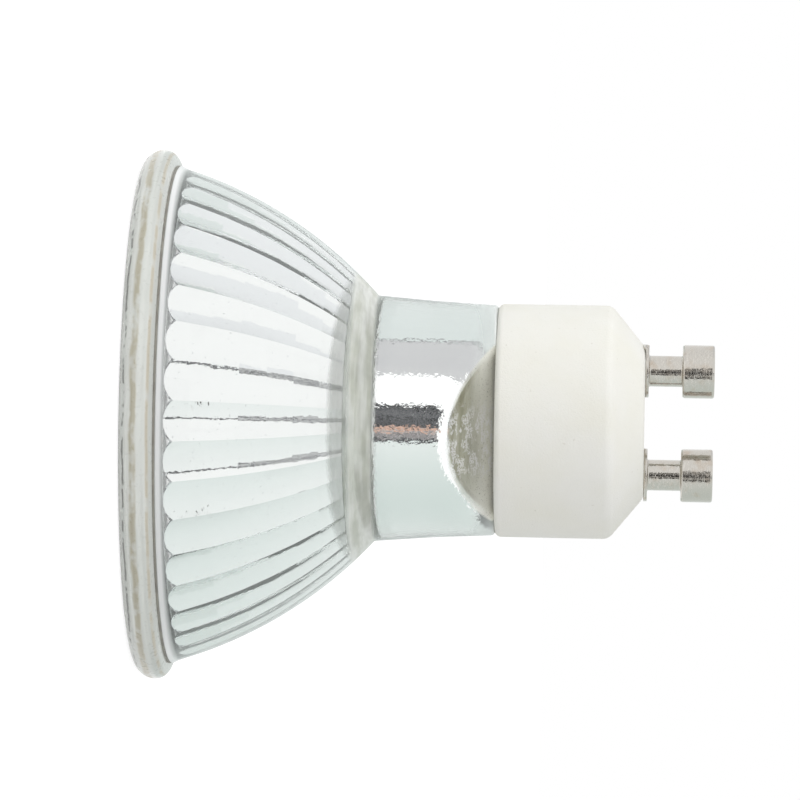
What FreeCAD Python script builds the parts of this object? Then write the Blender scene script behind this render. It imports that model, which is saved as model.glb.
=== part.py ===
import FreeCAD, Part
import math
import os
from types import SimpleNamespace

import Sketcher

# A mains spotlight bulb with a pressed glass reflector, a ceramic base and two headed contact pins.
# It stands on its front glass. The Z axis is the lamp's axis, from the front glass to the pins.
# The pins stand side by side along X, and the flats of the glass neck face along Y.


# Driving dimensions, in millimetres unless the note says otherwise

DIMENSIONS = (
    ("cover_radius", 25.0, "front glass, outer radius"),
    ("cover_front_round", 1.8, "rounding of its front edge"),
    ("cover_back_round", 1.3, "rounding of its back edge"),
    ("cover_pane_thickness", 2.2, "front glass inside its seating ring"),
    ("cover_seat_width", 3.3, "seating ring between the recess and the back edge"),
    ("seal_thickness", 0.2, "line of sealant"),
    ("seal_width", 2.3, "across the line of sealant"),
    ("cover_overhang", 1.5, "front glass past the reflector's rim"),
    ("rim_height", 0.7, "short conical rim"),
    ("rim_draft", 0.3, "radius that the rim loses"),
    ("bowl_length", 17.9, "bowl along the axis"),
    ("bowl_bend_radius", 41.0, "curve of the bowl's outside"),
    ("bowl_wall", 1.9, "glass between the outside and the mirror"),
    ("neck_fillet_radius", 1.5, "hollow between bowl and neck"),
    ("neck_fillet_height", 1.0, "that hollow along the axis"),
    ("neck_radius", 11.5, "neck beside the bowl"),
    ("neck_flare", 0.47, "bowl's end past the neck's radius"),
    ("neck_taper", 0.63, "radius that the neck loses"),
    ("neck_length", 10.7, "neck along the axis"),
    ("neck_edge", 0.35, "rounded end of the neck"),
    ("neck_wall", 2.05, "glass round the neck's bore"),
    ("neck_floor", 1.0, "glass between the bore and the neck's end"),
    ("flat_distance", 6.6, "neck flats and tang, from the axis"),
    ("flat_reach", 6.0, "cut that makes a slanted flat, along Y"),
    ("flat_rise", 6.0, "the same cut along the axis"),
    ("flat_wall", 1.2, "glass between a slanted flat and the bore, along Y"),
    ("tang_wall", 2.0, "glass beside the slot, along X"),
    ("tang_corner_inset", 1.27, "tang's rounded corners, in from the neck's end"),
    ("slot_gap", 0.6, "slot through the tang, beside the capsule's pinch"),
    ("slot_depth", 8.8, "slot through the tang, along Y"),
    ("rim_width", 2.44, "flat face of the rim, seated on the sealant"),
    ("land_slope", 0.195, "radius that the smooth land inside the rim loses per millimetre"),
    ("land_length", 1.9, "land between the rim and the first ring of facets"),
    ("facet_inset", 2.7, "last ring of facets, back from the bowl's end"),
    ("facet_columns", 36, "columns of facets, a count"),
    ("facet_rings", 6, "rings of facets, a count"),
    ("facet_crown", 0.05, "swell of a facet, as a share of its width"),
    ("collar_step", 0.26, "step from the last facets to the smooth collar"),
    ("collar_length", 2.3, "collar along the axis"),
    ("base_overhang", 0.13, "ceramic base past the neck's end"),
    ("base_length", 13.9, "ceramic base along the axis"),
    ("base_edge", 0.6, "rounded edge beside the neck"),
    ("base_chamfer", 3.2, "chamfer along the axis"),
    ("socket_gap", 0.4, "cement round the tang"),
    ("socket_floor_gap", 0.6, "cement under the tang"),
    ("wiring_margin", 0.3, "wiring room past the pins' rolled ends, along X"),
    ("wiring_depth", 8.4, "wiring room in the base, along Y"),
    ("base_end_wall", 2.5, "ceramic that the pins pass through"),
    ("pin_spacing", 10.0, "between the pins' axes"),
    ("pin_bore_radius", 0.75, "hollow of a pin"),
    ("pin_shaft_radius", 1.45, "pin's shaft"),
    ("pin_hole_clearance", 0.05, "round the shaft in its hole"),
    ("pin_flange_radius", 2.5, "foot flange"),
    ("pin_flange_overhang", 0.4, "flange past the edge of the base's end face"),
    ("pin_flange_thickness", 0.35, "foot flange"),
    ("pin_neck_length", 3.15, "shaft between flange and head"),
    ("pin_head_radius", 2.5, "head"),
    ("pin_head_length", 3.0, "head"),
    ("pin_head_edge", 0.2, "small edge round the head"),
    ("pin_rivet_radius", 2.1, "rolled end inside the base"),
    ("pin_rivet_thickness", 0.3, "rolled end inside the base"),
    ("pin_lip_clearance", 0.03, "between the bent lip and the chamfer"),
    ("pin_lip_width", 1.8, "bent lip along Y"),
    ("capsule_gap", 2.2, "between the front glass and the quartz capsule"),
    ("capsule_tip_radius", 1.0, "exhaust tip"),
    ("capsule_tip_length", 1.2, "exhaust tip"),
    ("capsule_dome_length", 4.0, "domed end"),
    ("capsule_dome_radius", 4.3, "curve of the domed end"),
    ("capsule_radius", 4.7, "capsule's tube"),
    ("capsule_wall", 0.8, "quartz wall"),
    ("shoulder_length", 2.3, "capsule's shoulder along the axis"),
    ("shoulder_inset", 1.7, "radius that the shoulder loses"),
    ("shoulder_radius", 2.6, "curve of the shoulder"),
    ("pinch_offset", 1.0, "pinch's start, past the end of the tube"),
    ("pinch_width", 9.2, "flat pinch along X"),
    ("pinch_thickness", 3.2, "flat pinch along Y"),
    ("pinch_length", 13.5, "flat pinch along the axis"),
    ("pinch_inset", 2.6, "pinch's end, back from the tang's end"),
    ("lead_spacing", 4.0, "between the two leads"),
    ("inner_lead_radius", 0.25, "lead inside the capsule"),
    ("inner_lead_length", 8.0, "lead inside the capsule"),
    ("foil_width", 2.4, "sealing foil along X"),
    ("foil_thickness", 0.1, "sealing foil along Y"),
    ("foil_length", 5.0, "sealing foil along the axis"),
    ("foil_inset", 4.0, "foil's end, back from the pinch's end"),
    ("outer_lead_radius", 0.3, "lead out of the pinch"),
    ("lead_reach", 0.4, "leads' ends past the tang's end"),
    ("filament_leg", 7.0, "straight leg of the filament"),
    ("filament_radius", 0.55, "outer radius of the coiled filament"),
    ("support_radius", 0.2, "support wire"),
    ("support_gap", 0.05, "between its ring and the filament"),
    ("support_root", 3.0, "support wire's end, past the pinch's start"),
    ("cement_collar", 5.3, "cement in the bore, up to its floor"),
    ("cement_inset", 0.4, "cement's end, back from the tang's end"),
    ("splice_radius", 0.65, "crimped splice"),
    ("splice_lap", 0.6, "lead inside the splice, and wire inside it"),
    ("fuse_radius", 0.9, "fuse"),
    ("fuse_length", 1.2, "fuse"),
    ("wire_radius", 0.35, "feed wire"),
    ("wire_bend", 0.9, "bend of the feed wire"),
    ("wire_lead_in", 0.1, "straight wire between fuse and bend"),
    ("wire_lead_out", 0.6, "straight wire between bend and pin"),
    ("wire_end_inset", 0.6, "feed wire's end, back from the pin's end"),
    ("sleeve_gap", 0.05, "between feed wire and sleeve"),
    ("sleeve_wall", 0.25, "woven sleeve"),
    ("solder_length", 1.2, "solder in the pin's end"),
    ("solder_inset", 0.05, "solder's surface, back from the pin's end"),
)


class Size:
    """A number with the formula that gives it from the sheet of dimensions."""

    def __init__(self, number, formula):
        self.number = number
        self.formula = formula

    def __add__(self, other):
        other = as_size(other)
        return Size(self.number + other.number, f"({self.formula} + {other.formula})")

    def __sub__(self, other):
        other = as_size(other)
        return Size(self.number - other.number, f"({self.formula} - {other.formula})")

    def __mul__(self, other):
        other = as_size(other)
        return Size(self.number * other.number, f"({self.formula} * {other.formula})")

    def __truediv__(self, other):
        other = as_size(other)
        return Size(self.number / other.number, f"({self.formula} / {other.formula})")

    def __neg__(self):
        return self * -1

    def root(self):
        return Size(math.sqrt(self.number), f"sqrt({self.formula})")


def as_size(value):
    """A plain number becomes a Size whose formula is the number itself."""
    if isinstance(value, Size):
        return value
    return Size(float(value), repr(float(value)))


document = FreeCAD.newDocument("SpotlightBulb")
sheet = document.addObject("Spreadsheet::Sheet", "Sizes")
d = SimpleNamespace()
for row, (alias, number, note) in enumerate(DIMENSIONS, start=1):
    sheet.set(f"A{row}", note)
    sheet.set(f"B{row}", str(number))
    sheet.setAlias(f"B{row}", alias)
    setattr(d, alias, Size(number, f"Sizes.{alias}"))
document.recompute()

ZERO = as_size(0)
FULL_TURN = 360.0


# Heights along the axis, from the front glass up

z = SimpleNamespace()
z.cover_back = d.cover_front_round + d.cover_back_round
z.rim = z.cover_back + d.seal_thickness
z.bowl = z.rim + d.rim_height
z.bowl_end = z.bowl + d.bowl_length
z.neck = z.bowl_end + d.neck_fillet_height
z.neck_end = z.neck + d.neck_length
z.facets = z.rim + d.land_length
z.facets_end = z.bowl_end - d.facet_inset
z.collar_end = z.facets_end + d.collar_length
z.bore_floor = z.neck_end - d.neck_floor
z.base_end = z.neck_end + d.base_length
z.chamfer = z.base_end - d.base_chamfer
z.end_wall = z.base_end - d.base_end_wall
z.flange_top = z.base_end + d.pin_flange_thickness
z.head = z.flange_top + d.pin_neck_length
z.pin_end = z.head + d.pin_head_length
z.rivet = z.end_wall - d.pin_rivet_thickness
z.wire_level = z.rivet - d.wire_lead_out - d.wire_bend
z.wire_end = z.pin_end - d.wire_end_inset
z.solder_end = z.pin_end - d.solder_inset
z.fuse_end = z.wire_level - d.wire_bend - d.wire_lead_in
z.lead_end = z.fuse_end - d.fuse_length
z.tang_end = z.lead_end - d.lead_reach
z.socket_floor = z.tang_end + d.socket_floor_gap
z.cement = z.bore_floor - d.cement_collar
z.cement_end = z.tang_end - d.cement_inset
z.pinch_end = z.tang_end - d.pinch_inset
z.pinch = z.pinch_end - d.pinch_length
z.foil_end = z.pinch_end - d.foil_inset
z.foil = z.foil_end - d.foil_length
z.inner_lead = z.foil - d.inner_lead_length
z.filament_bend = z.inner_lead - d.filament_leg
z.filament_top = z.filament_bend - d.lead_spacing / 2
z.capsule = d.cover_pane_thickness + d.capsule_gap
z.capsule_dome = z.capsule + d.capsule_tip_length
z.tube = z.capsule_dome + d.capsule_dome_length
z.tube_end = z.pinch - d.pinch_offset
z.capsule_end = z.tube_end + d.shoulder_length


# Widths and radii that follow from others

PIN_X = d.pin_spacing / 2
LEAD_X = d.lead_spacing / 2

w = SimpleNamespace()
w.cover_recess = d.cover_radius - d.cover_back_round - d.cover_seat_width
w.rim = d.cover_radius - d.cover_overhang
w.mouth = w.rim - d.rim_draft
w.land = w.rim - d.rim_width
w.bowl_end = d.neck_radius + d.neck_flare
w.neck_end = d.neck_radius - d.neck_taper
w.bore = d.neck_radius - d.neck_wall
w.slot = d.pinch_width + d.slot_gap * 2
w.tang = w.slot + d.tang_wall * 2
w.tang_corner = w.neck_end - d.tang_corner_inset
w.base = w.neck_end + d.base_overhang
w.base_face = PIN_X + d.pin_flange_radius - d.pin_flange_overhang
w.lip_drop = d.pin_flange_overhang / (w.base - w.base_face) * d.base_chamfer - d.pin_lip_clearance


def name_size(row, alias, size):
    """Gives a worked out size its own cell beside the table."""
    cell = f"D{row}"
    sheet.set(cell, "=" + size.formula.replace("Sizes.", ""))
    sheet.setAlias(cell, alias)
    document.recompute()
    return Size(size.number, f"Sizes.{alias}")


def bowl_centre():
    """Centre of the arc that is the bowl's outside, as radius and height."""
    inward = w.bowl_end - w.mouth
    upward = z.bowl_end - z.bowl
    chord = (inward * inward + upward * upward).root()
    away = (d.bowl_bend_radius * d.bowl_bend_radius - chord * chord / 4).root() / chord
    radius = (w.mouth + w.bowl_end) / 2 - upward * away
    height = (z.bowl + z.bowl_end) / 2 + inward * away
    return name_size(1, "bowl_centre_radius", radius), name_size(2, "bowl_centre_height", height)


w.bowl_centre, z.bowl_centre = bowl_centre()
w.mirror_bend = d.bowl_bend_radius - d.bowl_wall


def mirror_radius(height):
    """Radius of the mirror's curve at this height."""
    rise = height - z.bowl_centre
    return w.bowl_centre + (w.mirror_bend * w.mirror_bend - rise * rise).root()


w.collar = name_size(3, "collar_radius", mirror_radius(z.facets_end) - d.collar_step)


# Sketches

def point(corner):
    """The corner's place in the sketch, from its two numbers."""
    return FreeCAD.Vector(corner[0].number, corner[1].number, 0)


def arc_through(start, finish, radius, turn):
    """The arc of this radius from start to finish; turn is 1 to the left and -1 to the right."""
    chord = finish - start
    middle = (start + finish) * 0.5
    height = math.sqrt(radius ** 2 - (chord.Length / 2) ** 2)
    left = FreeCAD.Vector(-chord.y, chord.x, 0).normalize()
    centre = middle + left * height * turn
    first, last = (start, finish) if turn > 0 else (finish, start)
    angles = [math.atan2(end.y - centre.y, end.x - centre.x) for end in (first, last)]
    return Part.ArcOfCircle(Part.Circle(centre, FreeCAD.Vector(0, 0, 1), radius), *angles)


def hold(sketch, geometry, end, corner):
    """Ties one end of a line or arc to the sizes that place it."""
    for kind, axis, size in (("DistanceX", -2, corner[0]), ("DistanceY", -1, corner[1])):
        if size.number == 0:
            sketch.addConstraint(Sketcher.Constraint("PointOnObject", geometry, end, axis))
            continue
        number = sketch.addConstraint(Sketcher.Constraint(kind, -1, 1, geometry, end, size.number))
        tie(sketch, number, size)


def tie(sketch, number, size):
    """Gives a constraint a name and binds it to its formula."""
    name = f"size{number}"
    sketch.renameConstraint(number, name)
    sketch.setExpression(f"Constraints.{name}", size.formula)


def draw(sketch, corners, arcs=None, closed=True):
    """Draws lines through the corners, or an arc where arcs gives one as (radius, turn)."""
    arcs = arcs or {}
    count = len(corners) if closed else len(corners) - 1
    first_number = sketch.GeometryCount
    ends = []
    for index in range(count):
        start = point(corners[index])
        finish = point(corners[(index + 1) % len(corners)])
        if index in arcs:
            radius, turn = arcs[index]
            number = sketch.addGeometry(arc_through(start, finish, radius.number, turn))
            ends.append((1, 2) if turn > 0 else (2, 1))
            tie(sketch, sketch.addConstraint(Sketcher.Constraint("Radius", number, radius.number)), radius)
        else:
            sketch.addGeometry(Part.LineSegment(start, finish))
            ends.append((1, 2))
    for index in range(count):
        number = first_number + index
        hold(sketch, number, ends[index][0], corners[index])
        if index > 0 or closed:
            before = first_number + (index - 1) % count
            joint = Sketcher.Constraint("Coincident", before, ends[index - 1][1], number, ends[index][0])
            sketch.addConstraint(joint)
    if not closed:
        hold(sketch, first_number + count - 1, ends[-1][1], corners[-1])


def new_body(label):
    body = document.addObject("PartDesign::Body", label)
    body.Label = label
    return body


def new_sketch(body, name, plane):
    """An empty sketch on one of the body's own origin planes."""
    sketch = body.newObject("Sketcher::SketchObject", name)
    support = next(item for item in body.Origin.OriginFeatures if item.Role == plane)
    sketch.AttachmentSupport = (support, [""])
    sketch.MapMode = "FlatFace"
    return sketch


def revolve(body, name, corners, arcs=None):
    """Turns a profile of (radius, height) corners about the Z axis."""
    sketch = new_sketch(body, name + "_profile", "XZ_Plane")
    draw(sketch, corners, arcs)
    document.recompute()
    turned = body.newObject("PartDesign::Revolution", name)
    turned.Profile = sketch
    turned.ReferenceAxis = (sketch, ["V_Axis"])
    turned.Angle = FULL_TURN
    body.Tip = turned
    return turned


def pocket_through(body, name, plane, outlines):
    """Cuts the outlines through the whole body, to both sides of the plane."""
    sketch = new_sketch(body, name + "_outline", plane)
    for corners in outlines:
        draw(sketch, corners)
    document.recompute()
    before = body.Shape.Volume
    pocket = body.newObject("PartDesign::Pocket", name)
    pocket.Profile = sketch
    pocket.Type = "ThroughAll"
    pocket.SideType = "Symmetric"
    body.Tip = pocket
    document.recompute()
    if not body.Shape.Volume < before:
        raise RuntimeError(f"{name} cut nothing")


def pipe(label, route, arcs, radii):
    """A round wire, or a tube where there are two radii, along a route in the XZ plane."""
    body = new_body(label)
    path = new_sketch(body, label + "_route", "XZ_Plane")
    draw(path, route, arcs, closed=False)
    section = new_sketch(body, label + "_section", "XY_Plane")
    section.AttachmentOffset = FreeCAD.Placement(FreeCAD.Vector(0, 0, route[0][1].number), FreeCAD.Rotation())
    section.setExpression("AttachmentOffset.Base.z", route[0][1].formula)
    for radius in radii:
        circle = Part.Circle(point((route[0][0], ZERO)), FreeCAD.Vector(0, 0, 1), radius.number)
        number = section.addGeometry(circle)
        hold(section, number, 3, (route[0][0], ZERO))
        tie(section, section.addConstraint(Sketcher.Constraint("Radius", number, radius.number)), radius)
    document.recompute()
    swept = body.newObject("PartDesign::AdditivePipe", label + "_pipe")
    swept.Profile = section
    swept.Spine = (path, [])
    body.Tip = swept
    return body


# Solids

def bind(item, **sizes):
    for name, size in sizes.items():
        item.setExpression(name.replace("__", "."), as_size(size).formula)
    return item


def cylinder(label, radius, bottom, top, x=ZERO):
    item = document.addObject("Part::Cylinder", label)
    bind(item, Radius=radius, Height=top - bottom, Placement__Base__x=x, Placement__Base__z=bottom)
    return item


def block(label, width, depth, bottom, top, x=ZERO):
    """A box centred on the axis, or about x."""
    item = document.addObject("Part::Box", label)
    bind(item, Length=width, Width=depth, Height=top - bottom)
    bind(item, Placement__Base__x=x - width / 2, Placement__Base__y=-(depth / 2), Placement__Base__z=bottom)
    return item


def join(label, *items):
    item = document.addObject("Part::MultiFuse", label)
    item.Shapes = list(items)
    return item


def overlap(label, *items):
    item = document.addObject("Part::MultiCommon", label)
    item.Shapes = list(items)
    return item


def cut(label, base, *tools):
    item = document.addObject("Part::Cut", label)
    item.Base = base
    item.Tool = tools[0] if len(tools) == 1 else join(label + "_tools", *tools)
    return item


# Front glass and its sealant

def make_cover_glass():
    body = new_body("cover_glass")
    corners = [
        (ZERO, ZERO),
        (d.cover_radius - d.cover_front_round, ZERO),
        (d.cover_radius, d.cover_front_round),
        (d.cover_radius - d.cover_back_round, z.cover_back),
        (w.cover_recess, z.cover_back),
        (w.cover_recess, d.cover_pane_thickness),
        (ZERO, d.cover_pane_thickness),
    ]
    revolve(body, "cover_disc", corners, {1: (d.cover_front_round, 1), 2: (d.cover_back_round, 1)})
    return body


def make_cover_seal():
    body = new_body("cover_seal")
    inside = w.rim - d.seal_width
    corners = [
        (inside, z.cover_back),
        (w.rim, z.cover_back),
        (w.rim, z.rim),
        (inside, z.rim),
    ]
    revolve(body, "seal_ring", corners, {1: (d.seal_thickness, 1)})
    return body


# Reflector glass

def facet_section(height, corner_radius):
    """Closed wire round one ring boundary: an arc across each column, swelling into the bowl."""
    columns = int(d.facet_columns.number)
    half = math.pi / columns
    chord = 2 * corner_radius * math.sin(half)
    middle_radius = corner_radius * math.cos(half) - d.facet_crown.number * chord

    def place(radius, angle):
        return FreeCAD.Vector(radius * math.cos(angle), radius * math.sin(angle), height)

    arcs = []
    for column in range(columns):
        middle = 2 * half * column
        ends = [place(corner_radius, middle - half), place(corner_radius, middle + half)]
        arcs.append(Part.Arc(ends[0], place(middle_radius, middle), ends[1]).toShape())
    return Part.Wire(arcs)


def make_facet_form():
    """The hollow that presses the mirror's facets: rings of facets between arcs round the bowl's inside."""
    bend = w.mirror_bend.number
    start = math.asin((z.facets - z.bowl_centre).number / bend)
    finish = math.asin((z.facets_end - z.bowl_centre).number / bend)
    rings = int(d.facet_rings.number)
    boundaries = []
    for ring in range(rings + 1):
        angle = start + (finish - start) * ring / rings
        height = z.bowl_centre.number + bend * math.sin(angle)
        boundaries.append((height, w.bowl_centre.number + bend * math.cos(angle)))
    (low, low_radius), (high, high_radius) = boundaries[:2]
    slope = (low_radius - high_radius) / (high - low)
    below_rim = z.cover_back.number
    boundaries.insert(0, (below_rim, low_radius + slope * (low - below_rim)))
    boundaries.pop(1)
    form = document.addObject("Part::Feature", "facet_form")
    sections = [facet_section(height, corner_radius) for height, corner_radius in boundaries]
    form.Shape = Part.makeLoft(sections, True, True)
    form.Placement = FreeCAD.Placement()
    return form


def flat_outlines(distance):
    """What the two slanted flats at this distance from the axis take away, seen along X."""
    past_end = z.tang_end + d.flat_reach
    outlines = []
    for side in (1, -1):
        near = distance * side
        far = (distance + d.flat_reach) * side
        outlines.append([(near, z.neck_end), (near, past_end), (far, past_end), (far, z.neck_end - d.flat_rise)])
    return outlines


def make_reflector_blank():
    """The glass without its hollow: bowl, neck with two slanted flats, and tang."""
    body = new_body("reflector_blank")
    corners = [
        (ZERO, z.rim),
        (w.rim, z.rim),
        (w.mouth, z.bowl),
        (w.bowl_end, z.bowl_end),
        (d.neck_radius, z.neck),
        (w.neck_end, z.neck_end - d.neck_edge),
        (w.neck_end - d.neck_edge, z.neck_end),
        (w.tang_corner, z.neck_end),
        (w.tang_corner, z.tang_end),
        (ZERO, z.tang_end),
    ]
    arcs = {2: (d.bowl_bend_radius, 1), 3: (d.neck_fillet_radius, -1), 5: (d.neck_edge, 1)}
    revolve(body, "blown_form", corners, arcs)
    past_end = z.tang_end + d.flat_reach
    sides = []
    for side in (1, -1):
        near = w.tang / 2 * side
        far = (w.tang / 2 + d.flat_reach) * side
        sides.append([(near, z.neck_end), (near, past_end), (far, past_end), (far, z.neck_end)])
    pocket_through(body, "neck_flats", "YZ_Plane", flat_outlines(d.flat_distance))
    pocket_through(body, "tang_sides", "XZ_Plane", sides)
    return body


def make_bore_form():
    """The hollow of the neck: a collar beside the facets, then a bore that is flat beside the slanted flats."""
    body = new_body("bore_form")
    corners = [
        (ZERO, z.facets_end),
        (w.collar, z.facets_end),
        (w.bore, z.collar_end),
        (w.bore, z.bore_floor),
        (ZERO, z.bore_floor),
    ]
    revolve(body, "collar_and_bore", corners)
    pocket_through(body, "bore_flats", "YZ_Plane", flat_outlines(d.flat_distance - d.flat_wall))
    return body


def make_reflector_glass(bore):
    land = new_body("land_form")
    loss = d.land_slope * (z.facets_end - z.cover_back)
    mouth = w.land + d.land_slope * (z.rim - z.cover_back)
    corners = [(ZERO, z.cover_back), (mouth, z.cover_back), (mouth - loss, z.facets_end), (ZERO, z.facets_end)]
    revolve(land, "land_cone", corners)
    bowl = overlap("bowl_hollow", make_facet_form(), land)
    slot = block("slot_form", w.slot, d.slot_depth, z.bore_floor, z.tang_end)
    return cut("reflector_glass", make_reflector_blank(), bowl, bore, slot)


# Capsule with its filament and leads

def make_capsule_form():
    """Outer form of the quartz capsule, with its flat pinch."""
    body = new_body("capsule_turned")
    corners = [
        (ZERO, z.capsule),
        (d.capsule_tip_radius, z.capsule_dome),
        (d.capsule_radius, z.tube),
        (d.capsule_radius, z.tube_end),
        (d.capsule_radius - d.shoulder_inset, z.capsule_end),
        (ZERO, z.capsule_end),
    ]
    arcs = {
        0: (d.capsule_tip_length, 1),
        1: (d.capsule_dome_radius, 1),
        3: (d.shoulder_radius, 1),
    }
    revolve(body, "capsule_outside", corners, arcs)
    pinch = block("capsule_pinch", d.pinch_width, d.pinch_thickness, z.pinch, z.pinch_end)
    return join("capsule_form", body, pinch)


def make_capsule_hollow():
    body = new_body("capsule_hollow")
    radius = d.capsule_radius - d.capsule_wall
    corners = [
        (ZERO, z.capsule_dome + d.capsule_wall),
        (radius, z.tube),
        (radius, z.tube_end - d.capsule_wall),
        (radius - d.shoulder_inset, z.capsule_end - d.capsule_wall),
        (ZERO, z.capsule_end - d.capsule_wall),
    ]
    arcs = {0: (d.capsule_dome_radius, 1), 2: (d.shoulder_radius, 1)}
    revolve(body, "capsule_inside", corners, arcs)
    return body


def make_filament():
    route = [
        (-LEAD_X, z.inner_lead),
        (-LEAD_X, z.filament_bend),
        (ZERO, z.filament_top),
        (LEAD_X, z.filament_bend),
        (LEAD_X, z.inner_lead),
    ]
    return pipe("filament", route, {1: (LEAD_X, 1), 2: (LEAD_X, 1)}, [d.filament_radius])


def make_filament_support():
    ring_radius = d.filament_radius + d.support_gap + d.support_radius
    ring = document.addObject("Part::Torus", "support_ring")
    bind(ring, Radius1=ring_radius, Radius2=d.support_radius, Placement__Base__z=z.filament_top)
    ring.Placement.Rotation = FreeCAD.Rotation(FreeCAD.Vector(0, 1, 0), 90)
    wire = cylinder("support_wire", d.support_radius, z.filament_top + ring_radius, z.pinch + d.support_root)
    return join("filament_support", ring, wire)


# Ceramic base and its cement

def make_ceramic_base():
    body = new_body("base_blank")
    corners = [
        (ZERO, z.neck_end),
        (w.base - d.base_edge, z.neck_end),
        (w.base, z.neck_end + d.base_edge),
        (w.base, z.chamfer),
        (w.base_face, z.base_end),
        (ZERO, z.base_end),
    ]
    revolve(body, "base_turned", corners, {1: (d.base_edge, 1)})
    wiring_width = d.pin_spacing + (d.pin_rivet_radius + d.wiring_margin) * 2
    wiring = block("wiring_room", wiring_width, d.wiring_depth, z.socket_floor, z.end_wall)
    holes = []
    for side, x in (("a", -PIN_X), ("b", PIN_X)):
        radius = d.pin_shaft_radius + d.pin_hole_clearance
        holes.append(cylinder(f"pin_hole_{side}", radius, z.end_wall, z.base_end, x))
    return cut("ceramic_base", body, tang_shape("socket", d.socket_gap, z.socket_floor), wiring, *holes)


def tang_shape(name, gap, top):
    """The tang's outline grown by a gap, from the neck's end up."""
    width = w.tang + gap * 2
    depth = (d.flat_distance + gap) * 2
    sides = block(name + "_sides", width, depth, z.neck_end, top)
    corners = cylinder(name + "_corners", w.tang_corner + gap, z.neck_end, top)
    return overlap(name + "_shape", sides, corners)


def make_base_cement():
    filling = tang_shape("filling", d.socket_gap, z.socket_floor)
    passage = block("cement_passage", w.slot, d.slot_depth, z.tang_end, z.socket_floor)
    return cut("base_cement", filling, tang_shape("tang", ZERO, z.tang_end), passage)


def make_neck_cement(bore, capsule_form, leads):
    level = block("cement_level", d.neck_radius * 2, d.neck_radius * 2, z.cement, z.bore_floor)
    collar = overlap("cement_in_bore", bore, level)
    plug = block("cement_in_slot", w.slot, d.slot_depth, z.bore_floor, z.cement_end)
    return cut("neck_cement", join("cement_form", collar, plug), capsule_form, *leads)


# Contact pins

def make_contact_pin(label, side, lip):
    """A hollow headed pin, riveted into the base; side is -1 or 1 along X."""
    body = new_body(label)
    corners = [
        (d.pin_bore_radius, z.rivet),
        (d.pin_rivet_radius, z.rivet),
        (d.pin_rivet_radius, z.end_wall),
        (d.pin_shaft_radius, z.end_wall),
        (d.pin_shaft_radius, z.base_end),
        (d.pin_flange_radius, z.base_end),
        (d.pin_flange_radius, z.flange_top),
        (d.pin_shaft_radius, z.flange_top),
        (d.pin_shaft_radius, z.head),
        (d.pin_head_radius - d.pin_head_edge, z.head),
        (d.pin_head_radius, z.head + d.pin_head_edge),
        (d.pin_head_radius, z.pin_end - d.pin_head_edge),
        (d.pin_head_radius - d.pin_head_edge, z.pin_end),
        (d.pin_bore_radius, z.pin_end),
    ]
    revolve(body, label + "_turned", corners)
    if lip:
        add_bent_lip(body, label, side)
    bind(body, Placement__Base__x=PIN_X * side)
    return body


def add_bent_lip(body, label, side):
    """A stretch of the flange's edge that is bent down over the base's chamfer."""
    outer = d.pin_flange_radius * side
    inner = (d.pin_flange_radius - w.lip_drop) * side
    corners = [(outer, z.flange_top), (inner, z.flange_top), (inner, z.base_end), (outer, z.base_end - w.lip_drop)]
    sketch = new_sketch(body, label + "_lip_profile", "XZ_Plane")
    draw(sketch, corners)
    document.recompute()
    lip = body.newObject("PartDesign::Pad", label + "_lip")
    lip.Profile = sketch
    lip.SideType = "Symmetric"
    bind(lip, Length=d.pin_lip_width)
    body.Tip = lip


# Wiring in the base

def wire_route(side, start, finish):
    """Up from the lead, across to the pin and up through it."""
    lead_x = LEAD_X * side
    pin_x = PIN_X * side
    bend = d.wire_bend * side
    corners = [
        (lead_x, start),
        (lead_x, z.wire_level - d.wire_bend),
        (lead_x + bend, z.wire_level),
        (pin_x - bend, z.wire_level),
        (pin_x, z.wire_level + d.wire_bend),
        (pin_x, finish),
    ]
    return corners, {1: (d.wire_bend, -side), 3: (d.wire_bend, side)}


def make_wiring(letter, side, start):
    """Feed wire, woven sleeve and the solder in the pin's end, on one side."""
    corners, arcs = wire_route(side, start, z.wire_end)
    wire = pipe(f"feed_wire_{letter}", corners, arcs, [d.wire_radius])
    sleeve_start = z.wire_level - d.wire_bend - d.sleeve_gap
    sleeve_end = z.rivet - d.sleeve_gap
    corners, arcs = wire_route(side, sleeve_start, sleeve_end)
    inside = d.wire_radius + d.sleeve_gap
    sleeve = pipe(f"wire_sleeve_{letter}", corners, arcs, [inside + d.sleeve_wall, inside])
    drop = cylinder(f"solder_{letter}", d.pin_bore_radius, z.solder_end - d.solder_length, z.solder_end, PIN_X * side)
    solder = cut(f"pin_solder_{letter}", drop, wire)
    return [wire, sleeve, solder]


def make_leads():
    """The two sealing foils with a lead at each end, by name."""
    leads = {}
    for letter, x in (("a", -LEAD_X), ("b", LEAD_X)):
        leads[f"inner_lead_{letter}"] = cylinder(
            f"inner_lead_{letter}", d.inner_lead_radius, z.inner_lead, z.foil, x)
        leads[f"foil_{letter}"] = block(
            f"foil_{letter}", d.foil_width, d.foil_thickness, z.foil, z.foil_end, x)
        leads[f"outer_lead_{letter}"] = cylinder(
            f"outer_lead_{letter}", d.outer_lead_radius, z.foil_end, z.lead_end, x)
    return leads


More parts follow.
